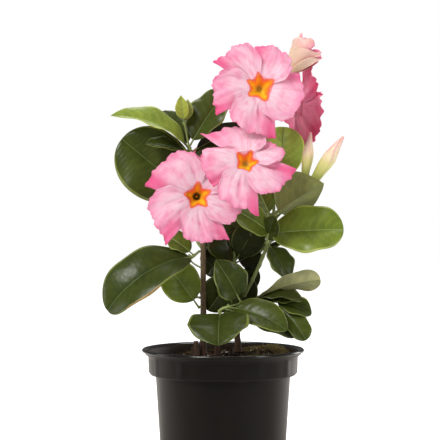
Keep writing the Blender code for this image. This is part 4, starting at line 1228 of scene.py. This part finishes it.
def grow_opening(cluster, foot, tip, girths):
    """Add a half-open bud: five petals wound into a funnel, their corners standing up."""
    length = np.linalg.norm(tip - foot)
    way = (tip - foot) / length
    side = unit(np.cross(way, [0.0, 1.0, 0.0]))
    other = np.cross(way, side)
    rule = random.Random("opening bud")
    v = np.linspace(0, 1, OPENING_ROWS)[:, None]
    u = np.linspace(0, 1, OPENING_COLUMNS)[None]
    corner = 0.13 * bell(u, 0.80, 0.20) - 0.14 * bell(u, 0, 0.3) - 0.10
    tinge = 0.18 + 0.24 * u + 0.6 * bell(u, 1, 0.12) * v ** 2
    tinge = np.clip(tinge * (0.4 + 0.6 * v), 0, 1)
    for k in range(5):
        climb = v * (1 + corner * v ** 2) * (1 + rule.uniform(-0.05, 0.06))
        wave = 0.5 * v ** 3 * np.sin(6.3 * (2.6 * u + rule.random()))
        reach = np.interp(np.clip(climb, 0, 1), *zip(*girths))
        reach = 1.34 * reach * (0.84 + 0.24 * (1 - u)) + 14 * np.maximum(climb - 1, 0) + wave
        turn = FULL_TURN * (k / 5 + u * 0.36) + 0.9 * v
        spot = foot + way * (length * climb)[..., None]
        spoke = side * np.cos(turn)[..., None] + other * np.sin(turn)[..., None]
        inner = spot + spoke * np.maximum(reach - PETAL_SKIN, 0.2)[..., None]
        rise = np.clip(0.52 + climb * 0.38, 0, 0.92)
        lay = np.stack(np.broadcast_arrays(u + k, climb), -1)
        cluster.add_sheet(inner, spot + spoke * reach[..., None],
                          ("petal_face", "bud_skin", "petal_face"), rise=(rise, rise),
                          blush=(np.full_like(tinge, 0.5), tinge), lay=(lay, lay))


def grow_buds(name, lines, coats):
    """Grow the buds of a stalk."""
    limb, place, buds = BUDS[name]
    petals, green = Cluster(), Cluster()
    first = Vector(buds[0][0])
    start = spring(lines[limb], place, first, PEDICEL)
    green.add_limb(eased([start, first]), (1.1, 1.4), 10, "stalk")
    for foot, tip, girths, stout in buds:
        low, high = numbers(foot), numbers(tip)
        if girths is OPENING_BUD:
            grow_opening(petals, low, high, girths)
        else:
            grow_bud(petals, low, high, girths, stout * BUD_SWELL)
        if (Vector(foot) - first).length > 0.1:
            line = [start.lerp(first, 0.3), foot, Vector(foot).lerp(Vector(tip), 0.08)]
            green.add_limb(eased(line), (0.9, 1.0, 1.3), 10, "stalk")
        way = unit(high - low)
        for k in range(5):
            turn = FULL_TURN * k / 5
            side = unit(np.cross(way, [math.cos(turn), math.sin(turn), 0.2]))
            scale(green, low + side * 1.2, unit(way + side * 0.16), 6.0, 1.1, cup=0.05)
    petals.make(f"furled_{own_name(name)}_skin", "bud", coats, (name,))
    green.make(f"furled_{own_name(name)}_stalk", "bud", coats, (name,))


# Limbs -----------------------------------------------------------------------------------

# About how far the marks of old leaves stand apart, mm
NODE_SPACING = 33.0


def deselect():
    """Leave edit mode and select nothing."""
    if bpy.context.mode != "OBJECT":
        bpy.ops.object.mode_set(mode="OBJECT")
    bpy.ops.object.select_all(action="DESELECT")


def choose(item):
    """Select one object alone and make it the active one."""
    deselect()
    item.select_set(True)
    bpy.context.view_layer.objects.active = item


def close_skin(item):
    """Merge doubled corners in edit mode, point the faces outwards and leave edit mode."""
    bpy.ops.mesh.select_all(action="SELECT")
    bpy.ops.mesh.remove_doubles(threshold=1e-6)
    bpy.ops.mesh.normals_make_consistent(inside=False)
    bpy.ops.object.mode_set(mode="OBJECT")
    return item


def settle(item, name, coats, solid):
    """Name a finished piece, give it its finishes and hang it on the frame for its solid."""
    item.name = name
    item.data.name = name
    item.data.materials.clear()
    for coat in coats:
        item.data.materials.append(coat)
    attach(item, "root")
    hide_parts(solid)


def press_relief(item, name, kind, size, strength):
    """Press a cloudy or pitted relief into a piece's mesh."""
    pattern = bpy.data.textures.new(name, kind)
    pattern.noise_scale = size * MM
    bpy.ops.object.modifier_add(type="DISPLACE")
    press = item.modifiers[-1]
    press.texture = pattern
    press.texture_coords = "LOCAL"
    press.strength = strength * MM
    press.mid_level = 0.5
    bpy.ops.object.modifier_apply(modifier=press.name)
    bpy.data.textures.remove(pattern)


# How much thicker a limb is drawn than its solid, for its rough skin
LIMB_SWELL = {"stem": 1.12, "bough": 1.0}


def run_along(points):
    """Length from the start of a line to each of its points."""
    return np.concatenate([[0], np.cumsum(np.linalg.norm(np.diff(points, axis=0), axis=1))])


def limb_girth(name, line, drawn, swell):
    """Radius at each drawn point of a limb, thicker at the marks of old leaves."""
    points, radii = line
    spans = run_along(drawn)
    stations = run_along(np.array([tuple(p) for p in points]))
    girth = np.interp(spans, stations / stations[-1] * spans[-1], radii) * swell
    rule = random.Random(name)
    place = rule.uniform(16, 26)
    while place < spans[-1] - 4:
        girth = girth * (1 + 0.16 * bell(spans, place, 1.5))
        place += NODE_SPACING * rule.uniform(0.7, 1.1)
    return girth


def limb(name, line, coat, slot, rough):
    """Draw a limb as a thick path, make it a mesh and press the bark's relief into it."""
    drawn = eased(line[0], 0.8)
    girth = limb_girth(name, line, drawn, LIMB_SWELL[slot])
    deselect()
    bpy.ops.curve.primitive_nurbs_path_add(location=(0, 0, 0))
    path = bpy.context.object.data
    path.splines.clear()
    spline = path.splines.new("POLY")
    spline.points.add(len(drawn) - 1)
    for handle, point, radius in zip(spline.points, drawn, girth):
        handle.co = (*(Vector(point) * MM), 1.0)
        handle.radius = radius
    path.bevel_depth = MM
    path.bevel_resolution = 8
    path.use_fill_caps = True
    bpy.ops.object.convert(target="MESH")
    bpy.ops.object.mode_set(mode="EDIT")
    item = close_skin(bpy.context.object)
    press_relief(item, f"{name}_coarse", "CLOUDS", 3.2, 0.45 * rough)
    press_relief(item, f"{name}_fine", "STUCCI", 0.9, 0.22 * rough)
    bpy.ops.object.shade_smooth()
    settle(item, f"{name}_bark", [coat], name)


# Pot and potting mix ---------------------------------------------------------------------

POT_TURNS = 128
# Stacking ribs: degrees from one to the next and degrees wide; then mm, how far they stand out
# and the height and radius between which they lie
RIB_PITCH = 30
RIB_WIDTH = 4
RIB_HEIGHT = 0.35
RIB_FOOT, RIB_TOP = 111.6, 128.5
RIB_INNER = 68.0
# Where the shiny lip of the rim and the dusty inside begin, mm
LIP_FOOT = 131.5
LIP_INNER = 69.5
INSIDE_FOOT = 112.0
# Radius and height round the pot's wall, from the middle of its floor to that of its underside
POT_PROFILE = (
    (0.0, 2.0), (49.5, 2.0), (51.6, 3.2), (53.3, 5.6), (57.0, 60.0), (60.8, 112.0), (62.2, 114.2),
    (67.2, 115.2), (67.5, 118.0), (67.9, 130.0), (69.4, 133.0), (71.2, 134.4), (72.8, 135.0),
    (74.2, 134.9), (74.9, 134.1), (75.0, 133.2), (74.5, 132.3), (73.2, 131.9), (72.4, 131.2),
    (71.9, 129.9), (69.9, 129.1), (69.2, 128.0), (68.8, 126.0), (68.5, 114.5), (68.2, 112.6),
    (67.2, 111.5), (65.4, 111.0), (62.6, 110.8), (62.2, 109.6), (58.7, 55.0), (55.2, 1.8),
    (54.4, 0.5), (53.2, 0.0), (0.0, 0.0))


def turned(profile, steps):
    """Draw a profile point by point and spin it round the upright axis."""
    deselect()
    bpy.ops.mesh.primitive_plane_add(size=0.01, location=(0, 0, 0))
    item = bpy.context.object
    bpy.ops.object.mode_set(mode="EDIT")
    bpy.ops.mesh.select_mode(type="VERT")
    bpy.ops.mesh.merge(type="CENTER")
    place = Vector((profile[0][0], 0, profile[0][1])) * MM
    bpy.ops.transform.translate(value=place)
    for radius, height in profile[1:]:
        step = Vector((radius, 0, height)) * MM - place
        bpy.ops.mesh.extrude_region_move(TRANSFORM_OT_translate={"value": step})
        place = place + step
    bpy.ops.mesh.select_all(action="SELECT")
    bpy.ops.mesh.spin(steps=steps, angle=FULL_TURN, center=(0, 0, 0), axis=(0, 0, 1))
    return close_skin(item)


def raise_ribs(pot):
    """Raise the stacking ribs on the pot's band and sink what lies between them."""
    for corner in pot.data.vertices:
        x, y, z = corner.co / MM
        if RIB_FOOT < z < RIB_TOP and math.hypot(x, y) > RIB_INNER:
            turn = math.degrees(math.atan2(y, x)) % RIB_PITCH
            step = RIB_HEIGHT if turn >= RIB_PITCH - RIB_WIDTH else -RIB_HEIGHT
            corner.co += Vector((x, y, 0)).normalized() * (step * MM)


def drain_cutter():
    """Make the one mesh that cuts all the drain holes."""
    deselect()
    holes = []
    for index in range(DRAIN_HOLES):
        angle = FULL_TURN * (index + 0.5) / DRAIN_HOLES
        place = Vector((math.cos(angle), math.sin(angle), 0)) * DRAIN_RING * MM
        bpy.ops.mesh.primitive_cylinder_add(vertices=28, radius=DRAIN_RADIUS * MM,
                                            depth=7 * MM, location=place + Vector((0, 0, MM)))
        holes.append(bpy.context.object)
    for hole in holes:
        hole.select_set(True)
    bpy.context.view_layer.objects.active = holes[0]
    bpy.ops.object.join()
    return bpy.context.object


def make_pot(coats):
    """Turn the pot, raise its ribs, cut its drain holes and give each part its finish."""
    pot = turned(POT_PROFILE, POT_TURNS)
    raise_ribs(pot)
    cutter = drain_cutter()
    choose(pot)
    bpy.ops.object.modifier_add(type="BOOLEAN")
    cut = pot.modifiers[-1]
    cut.object = cutter
    cut.solver = "EXACT"
    bpy.ops.object.modifier_apply(modifier=cut.name)
    bpy.data.objects.remove(cutter, do_unlink=True)
    bpy.ops.object.shade_smooth_by_angle(angle=math.radians(50))
    settle(pot, "pot_shell", [coats[name] for name in POT_FINISHES], "pot")
    for face in pot.data.polygons:
        x, y, z = face.center / MM
        if z > LIP_FOOT and math.hypot(x, y) > LIP_INNER:
            face.material_index = 1
        elif z > INSIDE_FOOT and face.normal.x * x + face.normal.y * y < 0:
            face.material_index = 2


# Height at which the mix's top is turned, before its lumps, mm
MIX_TOP = 100.0
# Low mounds in it: x, y, height and spread of each
MOUNDS = ((27, 24, 3.5, 160), (49, 33, 6.0, 240))
# How many crumbs and grains lie on it, which share of the crumbs are chips of bark, and how
# far from the pot's axis crumbs, grains and moss reach, mm
CRUMBS = 3400
PERLITE_GRAINS = 90
CHIP_SHARE = 0.16
CRUMB_REACH = 65.5
PERLITE_REACH = 62.0
MOSS_REACH = 65.0


def make_mix(coats):
    """Turn the body of potting mix and press its lumpy top into it."""
    edge = BAND_RADIUS - WALL - 0.4
    profile = [(r, MIX_TOP) for r in np.linspace(0, edge, 46)]
    profile += [(edge, 117.0), (pot_radius(BAND_FOOT) - WALL - 0.6, 113.0),
                (pot_radius(10.0) - WALL - 0.6, 10.0), (BASE_RADIUS - WALL - 4.5, 2.3), (0.0, 2.3)]
    item = turned(profile, 96)
    for corner in item.data.vertices:
        x, y, z = corner.co / MM
        if abs(z - MIX_TOP) < 0.5:
            corner.co.z = lump_height(x, y) * MM
    choose(item)
    press_relief(item, "mix_grain", "CLOUDS", 2.2, 0.9)
    bpy.ops.object.shade_smooth()
    settle(item, "mix_body", [coats["potting_mix"]], "soil")


def lump_height(x, y):
    """Height of the lumpy top of the potting mix."""
    lumps = (0.7 * math.sin(x * 0.31 + 1.1) * math.sin(y * 0.27 + 0.3)
             + 0.4 * math.sin(x * 0.73 + y * 0.41))
    mound = sum(rise * math.exp(-((x - x0) ** 2 + (y - y0) ** 2) / spread)
                for x0, y0, rise, spread in MOUNDS)
    return soil_height(x, y) - 0.9 + lumps * 0.6 + mound


def pebble(rule, size, flat):
    """Corners and faces of a small rough lump."""
    corners = [(0, 0, 1)]
    for ring, z in enumerate((0.45, -0.45)):
        turns = [k * math.pi / 3 + ring * 0.5 for k in range(6)]
        corners += [(0.88 * math.cos(turn), 0.88 * math.sin(turn), z) for turn in turns]
    corners.append((0, 0, -1))
    spread = np.array(corners) * np.array([[rule.uniform(0.65, 1.25)] for _ in corners])
    spread = spread * np.array([size * rule.uniform(0.7, 1.4), size, size * flat])
    ring = [(k, (k + 1) % 6) for k in range(6)]
    quads = [(1 + k, 7 + k, 7 + n, 1 + n) for k, n in ring]
    tris = [(0, 1 + k, 1 + n) for k, n in ring] + [(13, 7 + n, 7 + k) for k, n in ring]
    turn, tip = rule.uniform(0, FULL_TURN), rule.uniform(-0.6, 0.6)
    spin = Matrix.Rotation(turn, 3, "Z") @ Matrix.Rotation(tip, 3, "Y")
    return spread @ np.array(spin).T, quads, tris


def scatter(rule, reach):
    """A place on the potting mix, even over its area."""
    radius, turn = reach * math.sqrt(rule.random()), rule.uniform(0, FULL_TURN)
    return radius * math.cos(turn), radius * math.sin(turn)


# Shoots of moss for each mm of a patch's reach; its patches: x, y and reach
MOSS_SHOOTS = 24
MOSS_SPOTS = ((27, 24, 16), (49, 32, 18), (56, 26, 12), (30, -18, 11), (38, -6, 9), (24, -30, 8),
              (56, 4, 9), (60, 16, 8), (50, 20, 8), (64, -4, 6), (-30, 30, 8), (-8, 50, 7),
              (18, 46, 6), (-52, -4, 5))


def lay_crumbs(rule, crumbs):
    """Lay crumbs and flat chips of bark over the potting mix."""
    for _ in range(CRUMBS):
        x, y = scatter(rule, CRUMB_REACH)
        chip = rule.random() < CHIP_SHARE
        size = rule.uniform(0.9, 2.2) if chip else rule.uniform(0.45, 1.5)
        corners, quads, tris = pebble(rule, size, 0.5 if chip else 0.8)
        corners = corners + (x, y, lump_height(x, y) + size * 0.25)
        crumbs.add(corners, quads, "bark_chip" if chip else "crumb", tris)


def lay_perlite(rule, perlite):
    """Lay a few white grains of perlite."""
    for _ in range(PERLITE_GRAINS):
        x, y = scatter(rule, PERLITE_REACH)
        corners, quads, tris = pebble(rule, rule.uniform(0.5, 1.1), 0.9)
        perlite.add(corners + (x, y, lump_height(x, y) + 0.7), quads, "perlite", tris)


def plant_moss(rule, moss):
    """Plant the shoots of moss, denser towards the middle of each patch."""
    for x0, y0, reach in MOSS_SPOTS:
        for _ in range(reach * MOSS_SHOOTS):
            x, y = x0 + rule.gauss(0, reach * 0.42), y0 + rule.gauss(0, reach * 0.42)
            if math.hypot(x, y) > MOSS_REACH:
                continue
            root = np.array([x, y, lump_height(x, y) - 0.2])
            way = unit(np.array([rule.gauss(0, 0.6), rule.gauss(0, 0.6), 1.0]))
            tall = rule.uniform(1.0, 3.4)
            bend = np.array([rule.gauss(0, 0.5), rule.gauss(0, 0.5), 0])
            line = [root, root + way * tall * 0.5, root + way * tall + bend]
            moss.add_limb(line, (0.30, 0.42, 0.12), 4, "moss")


def dress_mix(coats):
    """Lay crumbs, bark chips, moss and perlite on the potting mix."""
    rule = random.Random("crumbs")
    crumbs, moss, perlite = Cluster(), Cluster(), Cluster()
    lay_crumbs(rule, crumbs)
    lay_perlite(rule, perlite)
    plant_moss(rule, moss)
    crumbs.make("mix_crumbs", "soil", coats)
    moss.make("mix_moss", "soil", coats)
    perlite.make("mix_perlite", "soil", coats)


# Hook and bud at a node of the left stem; stumps: x, y, height of the top and radius
NODE_HOOK = ((-19.2, 3.2, 209), (-23.5, 1.5, 211), (-28, 0.5, 214), (-30.2, 0, 216.5))
NODE_BUD = ((-30.2, 0, 215.8), (-30.6, 0, 217.5), (-31, 0, 219.5), (-31.3, 0, 221.3),
            (-31.4, 0, 222.2))
STUMPS = ((-24.6, -4, 142, 2.4), (-27.5, 2, 136, 1.6), (8, -6, 138, 1.5))


def small_growth(coats):
    """Grow the hooked bud at a node and the dry stalk stumps in the potting mix."""
    growth = Cluster()
    growth.add_limb(eased(NODE_HOOK, 0.8), (1.1, 0.8, 0.7, 0.8), 8, "shoot")
    growth.add_limb(eased(NODE_BUD, 0.6), (0.8, 2.0, 2.3, 1.5, 0.3), 12, "sepal")
    for x, y, top, thick in STUMPS:
        foot = lump_height(x, y) - 1.5
        stump = eased([(x + 0.8, y, foot), (x, y, (foot + top) / 2), (x - 0.5, y, top)], 1.2)
        growth.add_limb(stump, (thick * 1.2, thick, thick * 0.85), 12, "bark")
    growth.make("small_growth", "stem", coats)


# Scene -----------------------------------------------------------------------------------

LIGHTS = (  # name, place, aim, width and height in metres, watts
    ("key", (-0.9, -1.2, 1.35), (0, 0, 0.28), (0.6, 0.6), 25),
    ("rim_right", (1.15, 0.95, 0.30), (0, 0, 0.15), (0.45, 0.9), 7),
    ("rim_left", (-1.35, 0.15, 0.30), (0, 0, 0.15), (0.35, 0.9), 3),
    ("fill", (1.3, -0.9, 0.55), (0, 0, 0.22), (0.4, 1.1), 7),
    ("top", (0.1, 0.5, 1.6), (0, 0, 0.3), (0.9, 0.9), 14),
)
FLOOR_SIZE = 12.0
SENSOR = 36.0
CAMERA_PLACE = (-0.0028, -1.25, 0.2537)
VIEW_WIDTH = 0.4074


def light(name, place, aim, size, power):
    """Place a rectangular soft light that faces a point."""
    lamp = bpy.data.lights.new(name, "AREA")
    lamp.shape = "RECTANGLE"
    lamp.size, lamp.size_y = size
    lamp.energy = power
    item = bpy.data.objects.new(name, lamp)
    item.location = place
    item.rotation_euler = (Vector(aim) - Vector(place)).to_track_quat("-Z", "Y").to_euler()
    bpy.context.scene.collection.objects.link(item)


def make_floor():
    """Lay the floor of pale paper, darker towards the front in what the pot mirrors of it."""
    deselect()
    bpy.ops.mesh.primitive_plane_add(size=FLOOR_SIZE, location=(0, 0, 0))
    floor = bpy.context.object
    floor.name = "floor"
    made, tree, shader = shader_of("floor_paper")
    path = node(tree, "ShaderNodeLightPath").outputs
    paper = blend(tree, grain(tree, 400), (0.93, 0.93, 0.93), (0.96, 0.96, 0.96))
    shine = blend(tree, climb_share(tree, "Y", -0.30, 0.40), (0.05, 0.045, 0.04),
                  (0.80, 0.74, 0.68))
    tree.links.new(blend(tree, path["Is Glossy Ray"], paper, shine), shader.inputs["Base Color"])
    adjust(shader, Roughness=0.9, Specular_IOR_Level=0.1, Emission_Color=(1, 1, 1, 1))
    tree.links.new(level(tree, path["Is Camera Ray"], 0.0, 0.75),
                   shader.inputs["Emission Strength"])
    floor.data.materials.append(made)


def make_world():
    """Surround the scene with white, dimmer where it lights and shines than where it is seen."""
    world = bpy.data.worlds.new("studio")
    bpy.context.scene.world = world
    world.use_nodes = True
    tree = world.node_tree
    back = adjust(tree.nodes["Background"], Color=(1, 1, 1, 1))
    path = node(tree, "ShaderNodeLightPath").outputs
    seen = node(tree, "ShaderNodeMath", operation="MAXIMUM")
    tree.links.new(path["Is Camera Ray"], seen.inputs[0])
    tree.links.new(level(tree, path["Is Glossy Ray"], 0.42, 0.14), seen.inputs[1])
    tree.links.new(seen.outputs[0], back.inputs["Strength"])


def set_camera():
    """Set the camera level in front of the plant."""
    camera = bpy.data.cameras.new("camera")
    camera.sensor_width = SENSOR
    camera.lens = SENSOR * -CAMERA_PLACE[1] / VIEW_WIDTH
    view = bpy.data.objects.new("camera", camera)
    view.location = CAMERA_PLACE
    view.rotation_euler = (math.radians(90), 0, 0)
    bpy.context.scene.collection.objects.link(view)
    bpy.context.scene.camera = view
    bpy.context.scene.view_settings.view_transform = "Standard"


def build():
    """Dress the whole plant and set the studio."""
    coats = finishes()
    lines = {}
    for name in STEMS:
        lines[name] = stem_line(name)
        limb(name, lines[name], coats["bark"], "stem", 1.0)
    for name in BOUGHS:
        lines[name] = limb_line(name, lines)
        limb(name, lines[name], coats["shoot"], "bough", 0.35)
    make_pot(coats)
    make_mix(coats)
    dress_mix(coats)
    small_growth(coats)
    for grow, names in ((grow_mass, [*FOLIAGE, *BACK_FOLIAGE]), (grow_bloom, BLOOMS),
                        (grow_buds, BUDS)):
        for name in names:
            grow(name, lines, coats)
    make_floor()
    make_world()
    for values in LIGHTS:
        light(*values)
    set_camera()


build()
